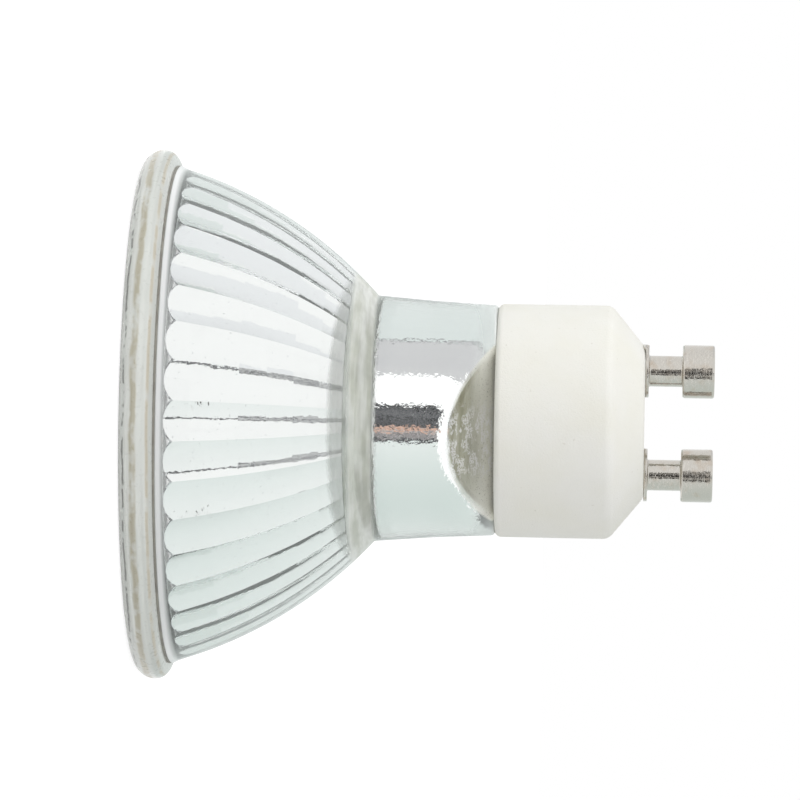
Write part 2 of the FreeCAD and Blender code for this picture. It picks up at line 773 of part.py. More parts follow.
def make_nodes():
    """Every sub-part of the lamp, each a single piece."""
    leads = make_leads()
    outer_leads = [leads["outer_lead_a"], leads["outer_lead_b"]]
    bore = make_bore_form()
    capsule_form = make_capsule_form()
    support = make_filament_support()
    capsule = cut("capsule_envelope", capsule_form, make_capsule_hollow(), support, *leads.values())
    nodes = [
        make_cover_glass(),
        make_cover_seal(),
        make_reflector_glass(bore),
        capsule,
        make_filament(),
        support,
        *leads.values(),
        make_neck_cement(bore, capsule_form, outer_leads),
        make_base_cement(),
        make_ceramic_base(),
        make_contact_pin("contact_pin_a", -1, lip=True),
        make_contact_pin("contact_pin_b", 1, lip=False),
    ]
    wiring_a = make_wiring("a", -1, z.lead_end)
    wiring_b = make_wiring("b", 1, z.fuse_end)
    splice = cylinder("splice_outside", d.splice_radius, z.lead_end - d.splice_lap, z.lead_end + d.splice_lap, -LEAD_X)
    nodes.append(cut("lead_splice", splice, leads["outer_lead_a"], wiring_a[0]))
    nodes.append(cylinder("fuse_link", d.fuse_radius, z.lead_end, z.fuse_end, LEAD_X))
    return nodes + wiring_a + wiring_b


def check_document():
    """Stops when any object of the document has failed."""
    failed = [item.Name for item in document.Objects if {"Invalid", "Error"} & set(item.State)]
    if failed:
        raise RuntimeError("failed objects: " + ", ".join(failed))


def write_parts(nodes):
    """Checks every sub-part, then writes each one to its own file."""
    for node in nodes:
        if node.Shape.isNull() or not node.Shape.isValid() or not node.Shape.Solids:
            raise RuntimeError(f"{node.Label} has no valid solid")
    os.makedirs("parts", exist_ok=True)
    for node in nodes:
        node.Shape.exportStep(f"parts/{node.Label}.step")
        print(f"{node.Label}: {len(node.Shape.Solids)} solid, {node.Shape.Volume:.2f} mm3")


parts = make_nodes()
document.recompute()
check_document()
write_parts(parts)
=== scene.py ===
import math

import bmesh
import bpy
from mathutils import Matrix, Vector


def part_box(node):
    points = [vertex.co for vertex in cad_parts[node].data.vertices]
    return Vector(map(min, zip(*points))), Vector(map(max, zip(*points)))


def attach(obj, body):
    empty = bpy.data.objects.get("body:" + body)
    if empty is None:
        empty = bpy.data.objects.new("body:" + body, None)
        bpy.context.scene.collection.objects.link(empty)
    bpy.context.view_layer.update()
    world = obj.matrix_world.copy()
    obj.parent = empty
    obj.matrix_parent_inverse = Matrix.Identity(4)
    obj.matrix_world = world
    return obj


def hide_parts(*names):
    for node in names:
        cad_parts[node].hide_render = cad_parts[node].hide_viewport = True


bl_info = {
    "name": "Spotlight bulb",
    "version": (1, 0, 0),
    "blender": (4, 5, 0),
    "location": "3D View > Sidebar > Bulb",
    "description": "Gives the spotlight bulb its glass, mirror, ceramic and metal",
    "category": "Object",
}

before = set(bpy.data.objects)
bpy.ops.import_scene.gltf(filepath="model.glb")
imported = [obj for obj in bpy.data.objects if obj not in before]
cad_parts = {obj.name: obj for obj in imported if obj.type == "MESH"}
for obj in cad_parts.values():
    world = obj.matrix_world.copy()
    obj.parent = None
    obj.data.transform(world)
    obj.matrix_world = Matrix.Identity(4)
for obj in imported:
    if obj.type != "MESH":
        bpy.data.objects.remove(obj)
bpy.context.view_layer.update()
MM = 0.001

COVER_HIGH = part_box("cover_glass")[1]
SEAL_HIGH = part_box("cover_seal")[1]
GLASS_LOW, GLASS_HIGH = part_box("reflector_glass")
BASE_LOW, BASE_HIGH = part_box("ceramic_base")
CAPSULE_LOW, CAPSULE_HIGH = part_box("capsule_envelope")
FILAMENT_LOW, FILAMENT_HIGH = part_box("filament")
PIN_LOW, PIN_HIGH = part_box("contact_pin_b")

# Heights in millimetres that the finishes share: the base's foot and the hollow between bowl and neck
FOOT = BASE_LOW.z / MM
HOLLOW = FOOT - 11.4


# Sizes and colours

def length(name, description, millimetres):
    return bpy.props.FloatProperty(
        name=name, description=description, default=millimetres * MM, subtype="DISTANCE", unit="LENGTH")


def colour(name, description, value):
    return bpy.props.FloatVectorProperty(
        name=name, description=description, default=value, size=3, min=0.0, max=1.0, subtype="COLOR")


class CoverSizes(bpy.types.PropertyGroup):
    front_round: length("Front rounding", "Rounding of the front edge", 1.8)
    back_round: length("Back rounding", "Rounding of the back edge", 1.3)
    pane: length("Pane", "Thickness inside the seating ring", 2.2)
    seat: length("Seating ring", "Width of the ring that sits on the sealant", 3.3)
    seal_width: length("Sealant", "Width of the line of sealant", 2.3)


class ReflectorSizes(bpy.types.PropertyGroup):
    rim_height: length("Rim height", "Short conical rim", 0.7)
    rim_draft: length("Rim draft", "Radius that the rim loses", 0.3)
    rim_edge: length("Rim edge", "Rounded edge beside the sealant", 0.12)
    bowl_length: length("Bowl length", "Bowl along the axis", 18.167)
    bowl_bend: length("Bowl bend", "Radius of the bowl's curve", 41.0)
    wall: length("Wall", "Glass between the outside and the mirror", 1.9)
    neck_radius: length("Neck radius", "Neck beside the bowl", 11.5)
    neck_flare: length("Neck flare", "Bowl's end past the neck's radius", 0.18)
    neck_taper: length("Neck taper", "Radius that the neck loses", 0.63)
    neck_start: length("Neck start", "Neck's start past the neck's radius", 0.09)
    neck_fillet: length("Neck fillet", "Radius of the hollow between bowl and neck", 0.31)
    fillet_length: length("Fillet length", "Hollow between bowl and neck, along the axis", 0.2)
    neck_wall: length("Neck wall", "Glass round the neck's bore", 2.05)
    neck_floor: length("Neck floor", "Glass past the bore's end, where the mirror stops", 0.2)
    neck_edge: length("Neck edge", "Rounded end of the neck", 0.35)
    film: length("Film", "Gap between the glass and the cement in the neck", 0.03)
    flat_distance: length("Flats", "Flats at the neck's end, from the axis", 6.15)
    flat_wall: length("Flat wall", "Glass between a flat and the bore, across the bulb", 0.75)
    flat_soften: length("Softened edge", "Rounding where a flat meets the neck", 1.3)
    flat_zone: length("Flat zone", "End of the neck that the flats reach", 6.0)
    flat_zone_swell: length("Flat zone swell", "Radius that the flat zone loses", 0.3)
    bore_zone: length("Bore zone", "End of the bore that its flats reach", 5.0)
    tang_radius: length("Tang radius", "Rounded corners of the tang, from the axis", 9.6)
    tang_width: length("Tang width", "Tang, from the axis to its narrow side", 7.2)
    tang_step: length("Tang step", "Tang's wide side, in from the flats", 0.05)
    slot_width: length("Slot width", "Slot in the tang, from the axis to its narrow side", 5.2)
    slot_depth: length("Slot depth", "Slot in the tang, from the axis to its wide side", 4.4)
    rim_width: length("Rim width", "Flat face of the rim", 2.34)
    land_length: length("Land", "Smooth land before the facets", 1.9)
    land_slope: bpy.props.FloatProperty(
        name="Land slope", description="Radius that the land loses per unit of height", default=0.02)
    edge_width: length("Facet edge", "Dull edge where the facets start", 0.075)
    facet_inset: length("Facet inset", "Last facets, back from the bowl's end", 2.967)
    facet_crown: bpy.props.FloatProperty(
        name="Facet crown", description="Swell of a facet, as a share of its width", default=0.05)
    columns: bpy.props.IntProperty(name="Columns", description="Columns of facets", default=36, min=6)
    rings: bpy.props.IntProperty(name="Rings", description="Rings of facets", default=6, min=1)
    collar_step: length("Collar step", "Step from the facets to the collar", 0.26)
    collar_length: length("Collar", "Collar along the axis", 2.3)


class BaseSizes(bpy.types.PropertyGroup):
    edge: length("Edge", "Rounded edge beside the neck", 0.6)
    chamfer: length("Chamfer", "Chamfer along the axis", 3.2)
    face_radius: length("End face", "Radius of the end face", 7.1)
    soften: length("Softened corner", "Rounding of the chamfer's corners", 0.5)
    end_wall: length("End wall", "Ceramic that the pins pass through", 2.5)
    socket_length: length("Socket length", "Socket for the tang, along the axis", 7.6)
    socket_radius: length("Socket radius", "Rounded corners of the socket, from the axis", 10.0)
    socket_width: length("Socket width", "Socket, from the axis to its narrow side", 7.6)
    socket_depth: length("Socket depth", "Socket, from the axis to its wide side", 7.0)
    cavity_radius: length("Cavity radius", "Corners of the cavity for the wires, from the axis", 8.5)
    cavity_width: length("Cavity width", "Cavity, from the axis to its narrow side", 7.4)
    cavity_depth: length("Cavity depth", "Cavity, from the axis to its wide side", 4.2)


class PinSizes(bpy.types.PropertyGroup):
    offset: length("Offset", "Each pin, from the bulb's axis", 5.0)
    shaft: length("Shaft", "Radius of the shaft", 1.45)
    head: length("Head", "Radius of the head and the flange", 2.5)
    head_length: length("Head length", "Head along the axis", 3.0)
    edge: length("Edge", "Rounded edges of the head", 0.2)
    flange: length("Flange", "Thickness of the flange", 0.35)
    rivet: length("Rivet", "Radius of the rivet inside the base", 2.1)
    rivet_length: length("Rivet length", "Rivet along the axis", 0.3)
    bore: length("Bore", "Radius of the bore", 0.75)
    lip: length("Lip", "How far the bent lip stands down", 0.27)


class CapsuleSizes(bpy.types.PropertyGroup):
    radius: length("Radius", "Round part of the capsule", 4.7)
    wall: length("Wall", "Wall of the capsule", 0.8)
    tip: length("Tip", "Exhaust tip along the axis", 1.2)
    tip_radius: length("Tip radius", "Exhaust tip where it meets the dome", 1.0)
    dome: length("Dome", "Tip and dome along the axis", 5.2)
    dome_bend: length("Dome bend", "Radius of the dome's curve", 4.3)
    tube: length("Tube", "Tip, dome and tube along the axis", 19.1)
    hollow_end: length("Hollow end", "Hollow past the tube's end", 1.5)
    hollow_step: length("Hollow step", "Radius that the hollow loses at its end", 1.7)
    hollow_bend: length("Hollow bend", "Radius of the hollow's end", 2.6)
    pinch_run: length("Pinch run", "Length over which the tube turns flat", 2.6)
    pinch_start: length("Pinch start", "Finely divided start of the pinch", 3.2)
    pinch_width: length("Pinch width", "Pinch, from the axis to its edge", 4.55)
    pinch_depth: length("Pinch depth", "Pinch, from the axis to its face", 1.58)
    pinch_edge: length("Pinch edge", "Cut corner at the pinch's end", 0.3)


class FilamentSizes(bpy.types.PropertyGroup):
    coil: length("Coil", "Radius of the coil", 0.48)
    wire: length("Wire", "Radius of the wire", 0.055)
    pitch: length("Pitch", "Distance between turns", 0.16)
    spacing: length("Spacing", "Between the two legs", 4.0)
    room: length("Room", "Room for the coil below its bend", 0.55)


class BulbColours(bpy.types.PropertyGroup):
    glass: colour("Glass", "Tint of the pressed glass", (0.98, 0.993, 0.988))
    mirror: colour("Mirror", "Aluminium behind the glass", (0.98, 0.985, 0.98))
    ceramic: colour("Ceramic", "Cream base", (0.86, 0.85, 0.77))
    cement: colour("Cement", "Khaki cement in the neck", (0.30, 0.28, 0.19))
    sealant: colour("Sealant", "Line behind the front glass", (0.24, 0.23, 0.205))
    nickel: colour("Nickel", "Plating of the pins", (0.60, 0.575, 0.53))


class StageSettings(bpy.types.PropertyGroup):
    distance: length("Camera distance", "From the camera to the bulb's axis", 510.0)
    camera_height: length("Camera height", "Where the camera stands along the axis", 47.5)
    aim_height: length("Aim", "Height that the camera looks at", 24.4)
    aim_rise: length("Rise", "Aim above the axis in the picture", 1.75)
    azimuth: bpy.props.FloatProperty(
        name="Azimuth", description="Turn of the bulb about its own axis",
        default=math.radians(-11.6), subtype="ANGLE", unit="ROTATION")
    roll: bpy.props.FloatProperty(
        name="Roll", description="Dip of the axis in the picture",
        default=math.radians(1.05), subtype="ANGLE", unit="ROTATION")
    lens: bpy.props.FloatProperty(name="Lens", description="Focal length in millimetres", default=243.2)


# Drawing and turning outlines

class Outline:
    """A line of edges in the XZ plane, drawn from point to point as radius and height."""

    def __init__(self, radius, height, kind=0):
        self.bm = bmesh.new()
        self.kinds = self.bm.verts.layers.int.new("kind")
        self.start = self.bm.verts.new((radius, 0, height))
        self.start[self.kinds] = kind
        self.tip = self.start

    def line(self, radius, height, kind=0, steps=1):
        begin, end = self.tip.co.copy(), Vector((radius, 0, height))
        for step in range(1, steps + 1):
            grown = bmesh.ops.extrude_vert_indiv(self.bm, verts=[self.tip])
            self.tip = grown["verts"][0]
            self.tip.co = begin.lerp(end, step / steps)
            self.tip[self.kinds] = kind
        return self

    def held(self, radius, height):
        """A straight stretch between two roundings, with a point close to each end so that it shades flat."""
        end = Vector((radius, 0, height))
        nudge = (end - self.tip.co).normalized() * 0.02 * MM
        near, far = self.tip.co + nudge, end - nudge
        return self.line(near.x, near.z).line(far.x, far.z).line(radius, height)

    def arc(self, radius, height, bend, side, steps, kind=0):
        """An arc with this bend; side is 1 where it curves to the left and -1 to the right."""
        begin, end = self.tip.co.copy(), Vector((radius, 0, height))
        chord = end - begin
        left = Vector((-chord.z, 0, chord.x)).normalized()
        away = math.sqrt(bend ** 2 - chord.length_squared / 4)
        centre = (begin + end) / 2 + left * away * side
        turn = 2 * math.asin(chord.length / 2 / bend) * side
        known = set(self.bm.verts)
        grown = bmesh.ops.spin(
            self.bm, geom=[self.tip], cent=centre, axis=(0, -1, 0), dvec=(0, 0, 0),
            angle=turn, steps=steps, use_duplicate=False)
        self.tip = [item for item in grown["geom_last"] if isinstance(item, bmesh.types.BMVert)][0]
        self.tip.co = end
        for vert in set(self.bm.verts) - known:
            vert[self.kinds] = kind
        return self

    def close(self):
        self.bm.edges.new((self.tip, self.start))
        return self

    def turn(self, steps):
        """Turns the line about the Z axis into a closed surface."""
        bmesh.ops.spin(
            self.bm, geom=self.bm.verts[:] + self.bm.edges[:], cent=(0, 0, 0), axis=(0, 0, 1),
            dvec=(0, 0, 0), angle=math.tau, steps=steps, use_merge=True, use_duplicate=False)
        bmesh.ops.remove_doubles(self.bm, verts=self.bm.verts, dist=MM * 0.001)
        return self.bm


def radius_of(vert):
    return math.hypot(vert.co.x, vert.co.y)


def angle_of(vert):
    return math.atan2(vert.co.y, vert.co.x)


def set_radius(vert, radius):
    angle = angle_of(vert)
    vert.co.x = radius * math.cos(angle)
    vert.co.y = radius * math.sin(angle)


def box_radius(angle, half_width, half_depth, corner=1.0):
    """Distance from the axis to a rectangle's outline, never past its rounded corner."""
    across = abs(math.cos(angle)) / half_width
    along = abs(math.sin(angle)) / half_depth
    return min(corner, 1 / max(across, along))


def softer_of(first, second, width):
    """The smaller of two lengths, with a rounded change from one to the other."""
    share = min(1.0, max(0.0, 0.5 + 0.5 * (second - first) / width))
    return second + (first - second) * share - width * share * (1 - share)


def place_piece(bm, name, materials, nodes=()):
    """Makes the mesh a piece of the bulb that rides on the one body."""
    bmesh.ops.recalc_face_normals(bm, faces=bm.faces)
    mesh = bpy.data.meshes.new(name)
    bm.to_mesh(mesh)
    bm.free()
    for material in materials:
        mesh.materials.append(material)
    piece = bpy.data.objects.new(name, mesh)
    bpy.context.scene.collection.objects.link(piece)
    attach(piece, "root")
    if nodes:
        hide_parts(*nodes)
    return piece


def smooth_with_creases(bm, angle):
    """Smooth faces, with a crease along each edge that turns by more than the angle."""
    for face in bm.faces:
        face.smooth = True
    for edge in bm.edges:
        if len(edge.link_faces) == 2 and edge.calc_face_angle() > angle:
            edge.smooth = False


# Finishes

class Value:
    """An output in a material, so that maths on it reads as plain Python."""

    def __init__(self, tree, socket):
        self.tree = tree
        self.socket = socket

    def maths(self, operation, *terms):
        node = self.tree.nodes.new("ShaderNodeMath")
        node.operation = operation
        for slot, term in zip(node.inputs, terms):
            if isinstance(term, Value):
                self.tree.links.new(term.socket, slot)
            else:
                slot.default_value = term
        return Value(self.tree, node.outputs[0])

    def __add__(self, other):
        return self.maths("ADD", self, other)

    def __radd__(self, other):
        return self.maths("ADD", other, self)

    def __sub__(self, other):
        return self.maths("SUBTRACT", self, other)

    def __rsub__(self, other):
        return self.maths("SUBTRACT", other, self)

    def __mul__(self, other):
        return self.maths("MULTIPLY", self, other)

    def __rmul__(self, other):
        return self.maths("MULTIPLY", other, self)

    def __truediv__(self, other):
        return self.maths("DIVIDE", self, other)

    def smaller(self, other):
        return self.maths("MINIMUM", self, other)

    def larger(self, other):
        return self.maths("MAXIMUM", self, other)

    def unsigned(self):
        return self.maths("ABSOLUTE", self)

    def root(self):
        return self.maths("SQRT", self)

    def between(self, low, high):
        """0 below low, 1 above high, and a straight rise from one to the other."""
        return ((self - low) / (high - low)).larger(0.0).smaller(1.0)


class Finish:
    """A new material or world, to which nodes are added one call at a time."""

    def __init__(self, name, kind="materials"):
        self.material = getattr(bpy.data, kind).new(name)
        self.material.use_nodes = True
        self.tree = self.material.node_tree
        self.tree.nodes.clear()

    def add(self, kind, settings=None, inputs=None, output=0):
        """Adds a node: its settings first, then its sockets by name or number."""
        node = self.tree.nodes.new("ShaderNode" + kind)
        for name, setting in (settings or {}).items():
            setattr(node, name, setting)
        for name, item in (inputs or {}).items():
            if isinstance(item, Value):
                self.tree.links.new(item.socket, node.inputs[name])
            else:
                node.inputs[name].default_value = item
        return Value(self.tree, node.outputs[output] if node.outputs else None)

    def place(self):
        """The point on the piece, in metres."""
        return self.add("TexCoord", output="Object")

    def axes(self):
        """The point's three coordinates, in millimetres."""
        split = self.add("SeparateXYZ", inputs={"Vector": self.place()})
        node = split.socket.node
        return [Value(self.tree, node.outputs[number]) / MM for number in range(3)]

    def noise(self, scale, detail=2.0, where=None, distortion=0.0):
        inputs = {"Vector": where or self.place(), "Scale": scale, "Detail": detail, "Distortion": distortion}
        return self.add("TexNoise", inputs=inputs)

    def streaks(self, scale, detail=3.0, distortion=0.0):
        """Noise with each axis scaled by itself, for a grain that runs one way."""
        where = self.add("Mapping", inputs={"Vector": self.place(), "Scale": scale})
        return self.noise(1.0, detail, where, distortion)

    def blend(self, share, first, second):
        """A colour between two, by a share from 0 to 1."""
        inputs = {0: share, 6: self.paint(first), 7: self.paint(second)}
        return self.add("Mix", {"data_type": "RGBA"}, inputs, 2)

    def paint(self, value):
        return value if isinstance(value, Value) else (*value, 1.0)

    def bump(self, height, millimetres, over=None):
        """Relief this deep where the height is 1, on top of another relief if there is one."""
        inputs = {"Height": height, "Distance": millimetres * MM}
        if over is not None:
            inputs["Normal"] = over
        return self.add("Bump", inputs=inputs)

    def shader(self, **inputs):
        """A plain surface shader; its sockets are given by name with _ for a space."""
        named = {name.replace("_", " "): item for name, item in inputs.items()}
        named["Base Color"] = self.paint(named["Base Color"])
        return self.add("BsdfPrincipled", inputs=named)

    def surface(self, **inputs):
        """A material that is one plain surface shader."""
        return self.end(self.shader(**inputs))

    def end(self, shader):
        self.add("OutputMaterial", inputs={"Surface": shader})
        return self.material


def colours():
    return bpy.context.scene.bulb_colours


def band(value, middle, half_width, edge):
    """1 within the half width of the middle, falling to 0 over the edge."""
    return 1 - (value - middle).unsigned().between(half_width, half_width + edge)


def past_flat(y, z, distance):
    """How far a point lies past the plane of the nearer flat, which slants at 45 degrees, in millimetres."""
    return y.unsigned() + z - (FOOT + distance / MM)


def reflector_glass():
    """Pressed glass with mould waves and a haze that is thicker at the rim and in the hollow of the neck; the
    thicker haze near the base is painted light, which keeps the glass pale where the ceramic shades it.
    """
    finish = Finish("reflector_glass")
    x, y, z = finish.axes()
    rim = GLASS_LOW.z / MM
    fine = finish.noise(2600.0)
    normal = finish.bump(finish.noise(220.0, 1.0), 0.02, over=finish.bump(fine, 0.001))
    grazing = finish.add("LayerWeight", inputs={"Blend": 0.5, "Normal": normal}, output="Facing")
    cloud = finish.noise(500.0).between(0.3, 0.7)
    round_neck = finish.streaks((220.0, 220.0, 1800.0)).between(0.38, 0.62)
    near_rim = 1 - z.between(rim + 0.4, rim + 0.9)
    in_bowl = 1 - z.between(HOLLOW - 0.2, HOLLOW)
    in_hollow = band(z, HOLLOW - 0.95, 0.9, 0.4)
    # Painted light: near the base the haze turns the glass milky and pale where the ceramic shades it.
    painted_light_near_base = z.between(FOOT - 2.2, FOOT - 0.4)
    past = past_flat(y, z, bpy.context.scene.bulb_reflector.flat_distance)
    on_flat = past.between(-0.14, -0.06) * (1 - past.between(0.1, 0.2))
    neck = finish.blend(round_neck, (0.60, 0.62, 0.54), (0.84, 0.86, 0.81))
    pale = finish.blend(in_hollow, (0.88, 0.93, 0.91), neck)
    pale = finish.blend(near_rim, pale, (0.95, 0.965, 0.965))
    clear = finish.shader(
        Base_Color=colours().glass, Roughness=fine.between(0.2, 0.9) * 0.03 + 0.01, IOR=1.3,
        Transmission_Weight=1.0, Normal=normal)
    milky = finish.shader(
        Base_Color=finish.blend(on_flat, pale, cement_behind_flat(finish, x, z)), Roughness=fine * 0.2 + 0.25,
        Coat_Weight=0.3, Coat_Roughness=0.05, Normal=normal)
    haze = in_bowl * 0.05 + near_rim * 0.7 + in_hollow * (0.45 + cloud * 0.15) + 0.02
    haze = haze + on_flat * 0.55 + painted_light_near_base * 0.4 + grazing * grazing * 0.45
    return finish.end(finish.add("MixShader", inputs={0: haze, 1: clear, 2: milky}))


def cement_behind_flat(finish, x, z):
    """Khaki cement seen through a flat: streaked and with dark flecks, with painted light that makes it paler
    to one side and towards the ceramic, and with painted glints in the middle.
    """
    crumbs = finish.noise(6500.0)
    # Painted glints: white specks in the flat's colour.
    patches = finish.streaks((900.0, 900.0, 2400.0), 4.0).between(0.48, 0.54)
    glints = patches * band(x, 0.5, 2.2, 2.0) * crumbs.between(0.42, 0.5)
    streaks = finish.streaks((130.0, 700.0, 1500.0)).between(0.35, 0.65)
    khaki = finish.blend(streaks, (0.29, 0.28, 0.18), (0.54, 0.54, 0.43))
    # Painted light: the khaki is paler to one side and paler still towards the ceramic.
    khaki = finish.blend(x.between(2.0, 6.5) * 0.7, khaki, (0.80, 0.82, 0.77))
    khaki = finish.blend(z.between(FOOT - 2.8, FOOT - 1.0) * 0.9, khaki, (0.95, 0.95, 0.88))
    khaki = finish.blend(crumbs.between(0.62, 0.68) * 0.5, khaki, (0.16, 0.15, 0.11))
    return finish.blend(glints, khaki, (1.0, 1.0, 1.0))


def front_glass():
    """Clear pane with a hazy moulded edge, through which the sealant shows as broken khaki lines."""
    finish = Finish("front_glass")
    x, y, z = finish.axes()
    radius = (x * x + y * y).root()
    outside = COVER_HIGH.x / MM
    edge = radius.between(outside - 4.6, outside - 2.6)
    fine = finish.noise(2600.0)
    waves = finish.streaks((600.0, 600.0, 900.0), 2.0)
    drift = finish.noise(350.0) * 0.5 - 0.25
    normal = finish.bump(waves, 0.03, over=finish.bump(fine, 0.0015))
    khaki = band(z + drift, 1.4, 0.2, 0.2) * waves.between(0.25, 0.5)
    gold = band(z + drift * 0.3, 2.68, 0.07, 0.12) * waves.between(0.25, 0.5)
    dashes = band(z + drift, 0.5, 0.05, 0.08) * waves.between(0.43, 0.51)
    pale = finish.blend(khaki * 0.9, (0.91, 0.935, 0.885), (0.50, 0.46, 0.34))
    pale = finish.blend(gold * 0.8, pale, (0.50, 0.44, 0.32))
    milk = finish.blend(dashes * 0.9, pale, (0.18, 0.18, 0.17))
    haze = edge * (0.6 + khaki * 0.2 + gold * 0.25 + dashes * 0.35) + 0.01
    clear = finish.shader(
        Base_Color=colours().glass, Roughness=fine.between(0.2, 0.9) * 0.02 + 0.005, IOR=1.2,
        Transmission_Weight=1.0, Coat_Weight=0.6, Coat_Roughness=0.02, Normal=normal)
    milky = finish.shader(Base_Color=milk, Roughness=fine * 0.2 + 0.2, Normal=normal)
    return finish.end(finish.add("MixShader", inputs={0: haze, 1: clear, 2: milky}))


def mirror_coat():
    """Aluminium on the glass: bright, with a faint orange-peel and a few dull spots."""
    finish = Finish("mirror_coat")
    cloud = finish.noise(900.0, 3.0)
    peel = finish.noise(420.0, 1.5) + finish.noise(1600.0) * 0.6
    spots = finish.noise(3800.0, 1.0).between(0.72, 0.8)
    metal = finish.blend(spots, colours().mirror, (0.72, 0.74, 0.74))
    return finish.surface(
        Base_Color=metal, Metallic=1.0, Roughness=cloud.between(0.3, 0.8) * 0.05 + 0.02 + spots * 0.25,
        Normal=finish.bump(peel, 0.012))


def neck_mirror():
    """The coat in the neck's bore, over uneven glass; on the bore's flats the cement shows instead."""
    finish = Finish("neck_mirror")
    y, z = finish.axes()[1:]
    ripple = finish.noise(2600.0)
    cloud = finish.noise(900.0, 3.0)
    streaks = finish.streaks((160.0, 900.0, 2600.0))
    grain = finish.noise(5200.0, 3.0)
    patches = finish.streaks((520.0, 520.0, 760.0), 4.0, 0.8)
    size = bpy.context.scene.bulb_reflector
    past = past_flat(y, z, size.flat_distance - size.flat_wall) - cloud * 0.5
    bare = past.between(-0.4, -0.2) * (1 - patches.between(0.56, 0.62) * grain.between(0.25, 0.5))
    base = finish.blend(streaks.between(0.35, 0.65), (0.78, 0.76, 0.60), (0.93, 0.92, 0.84))
    khaki = finish.blend(grain.between(0.62, 0.72), base, (0.50, 0.47, 0.36))
    return finish.surface(
        Base_Color=finish.blend(bare, colours().mirror, khaki), Metallic=1 - bare * 0.75,
        Roughness=cloud.between(0.3, 0.8) * 0.04 + 0.02 + bare * 0.5, Normal=finish.bump(ripple, 0.015))


def collar_coat():
    """The coat is thin on the collar, so the khaki behind it shows in streaks round the neck."""
    finish = Finish("collar_coat")
    streaks = finish.streaks((220.0, 220.0, 1800.0))
    cloud = finish.noise(900.0, 3.0)
    return finish.surface(
        Base_Color=finish.blend(streaks.between(0.38, 0.62), (0.60, 0.62, 0.55), (0.90, 0.92, 0.88)),
        Metallic=1.0, Roughness=cloud * 0.2 + 0.08, Normal=finish.bump(streaks, 0.02))


def dull_edge():
    """The moulded edge where the facets start, which throws the light away; its dark patches are painted
    shade.
    """
    finish = Finish("dull_edge")
    varied = finish.noise(2600.0)
    # Painted shade: the edge's metal is dark in patches.
    return finish.surface(
        Base_Color=finish.blend(varied.between(0.4, 0.6), (0.34, 0.34, 0.35), (0.78, 0.79, 0.80)),
        Metallic=1.0, Roughness=varied * 0.3 + 0.2, Normal=finish.bump(varied, 0.04))


def against_glass(name, base, pale, scale, relief=0.03):
    """What lies against the glass's far side and glistens there: cement or sealant."""
    finish = Finish(name)
    streaks = finish.streaks(scale)
    grain = finish.noise(5200.0, 3.0)
    mixed = finish.blend(streaks.between(0.35, 0.65), base, pale)
    return finish.surface(
        Base_Color=finish.blend(grain.between(0.62, 0.72) * 0.5, mixed, tuple(part * 0.5 for part in base)),
        Metallic=1.0, Roughness=streaks * 0.3 + 0.2, Normal=finish.bump(streaks + grain * 0.4, relief))


def cement(name, pale):
    """Dry lamp cement: sand grain, pits darkened with painted shade and slow changes of tone."""
    finish = Finish(name)
    slow = finish.noise(420.0, 3.0)
    sand = finish.noise(7000.0)
    cells = finish.add("TexVoronoi", {"feature": "F1"}, {"Vector": finish.place(), "Scale": 2600.0})
    pits = 1 - cells.between(0.1, 0.4)
    base = finish.blend(slow.between(0.3, 0.7), colours().cement, pale)
    # Painted shade: the pits are darkened.
    return finish.surface(
        Base_Color=finish.blend(pits * 0.6, base, (0.2, 0.18, 0.13)), Roughness=sand * 0.2 + 0.75,
        Normal=finish.bump(sand - pits * 0.5, 0.08))


def sealant():
    """Beige silicone, slightly uneven, with a dull gloss."""
    finish = Finish("sealant")
    slow = finish.noise(700.0)
    fine = finish.noise(5200.0)
    return finish.surface(
        Base_Color=finish.blend(slow.between(0.35, 0.65), colours().sealant, (0.34, 0.33, 0.29)),
        Roughness=fine * 0.2 + 0.45, Normal=finish.bump(slow + fine * 0.3, 0.05))


def quartz():
    """Clear drawn quartz, with faint lines along it."""
    finish = Finish("quartz")
    draw = finish.streaks((300.0, 300.0, 60.0), 1.0)
    return finish.surface(
        Base_Color=(0.97, 0.98, 0.985), Roughness=draw.between(0.3, 0.9) * 0.02 + 0.005, IOR=1.46,
        Transmission_Weight=1.0, Normal=finish.bump(draw, 0.02))


def cream_ceramic():
    """Unglazed ceramic: fine grain, rare dark specks and faint press marks."""
    finish = Finish("cream_ceramic")
    z = finish.axes()[2]
    slow = finish.noise(160.0, 3.0)
    grain = finish.noise(6500.0, 3.0)
    marks = finish.streaks((500.0, 500.0, 60.0), 2.0)
    specks = finish.noise(3400.0, 0.0).between(0.83, 0.86)
    # Lighter in patches along the corner where the chamfer starts.
    from_corner = z - (BASE_HIGH.z - bpy.context.scene.bulb_base.chamfer) / MM
    near_corner = 1 - from_corner.unsigned().between(0.05, 0.5)
    body = finish.blend(slow.between(0.3, 0.7), colours().ceramic, (0.885, 0.88, 0.835))
    varied = finish.blend(near_corner * grain.between(0.4, 0.7) * 0.35, body, (0.93, 0.93, 0.90))
    return finish.surface(
        Base_Color=finish.blend(specks * 0.2, varied, (0.46, 0.42, 0.33)), Roughness=grain * 0.16 + 0.44,
        Specular_IOR_Level=0.35, Normal=finish.bump(grain + marks * 0.6, 0.03))


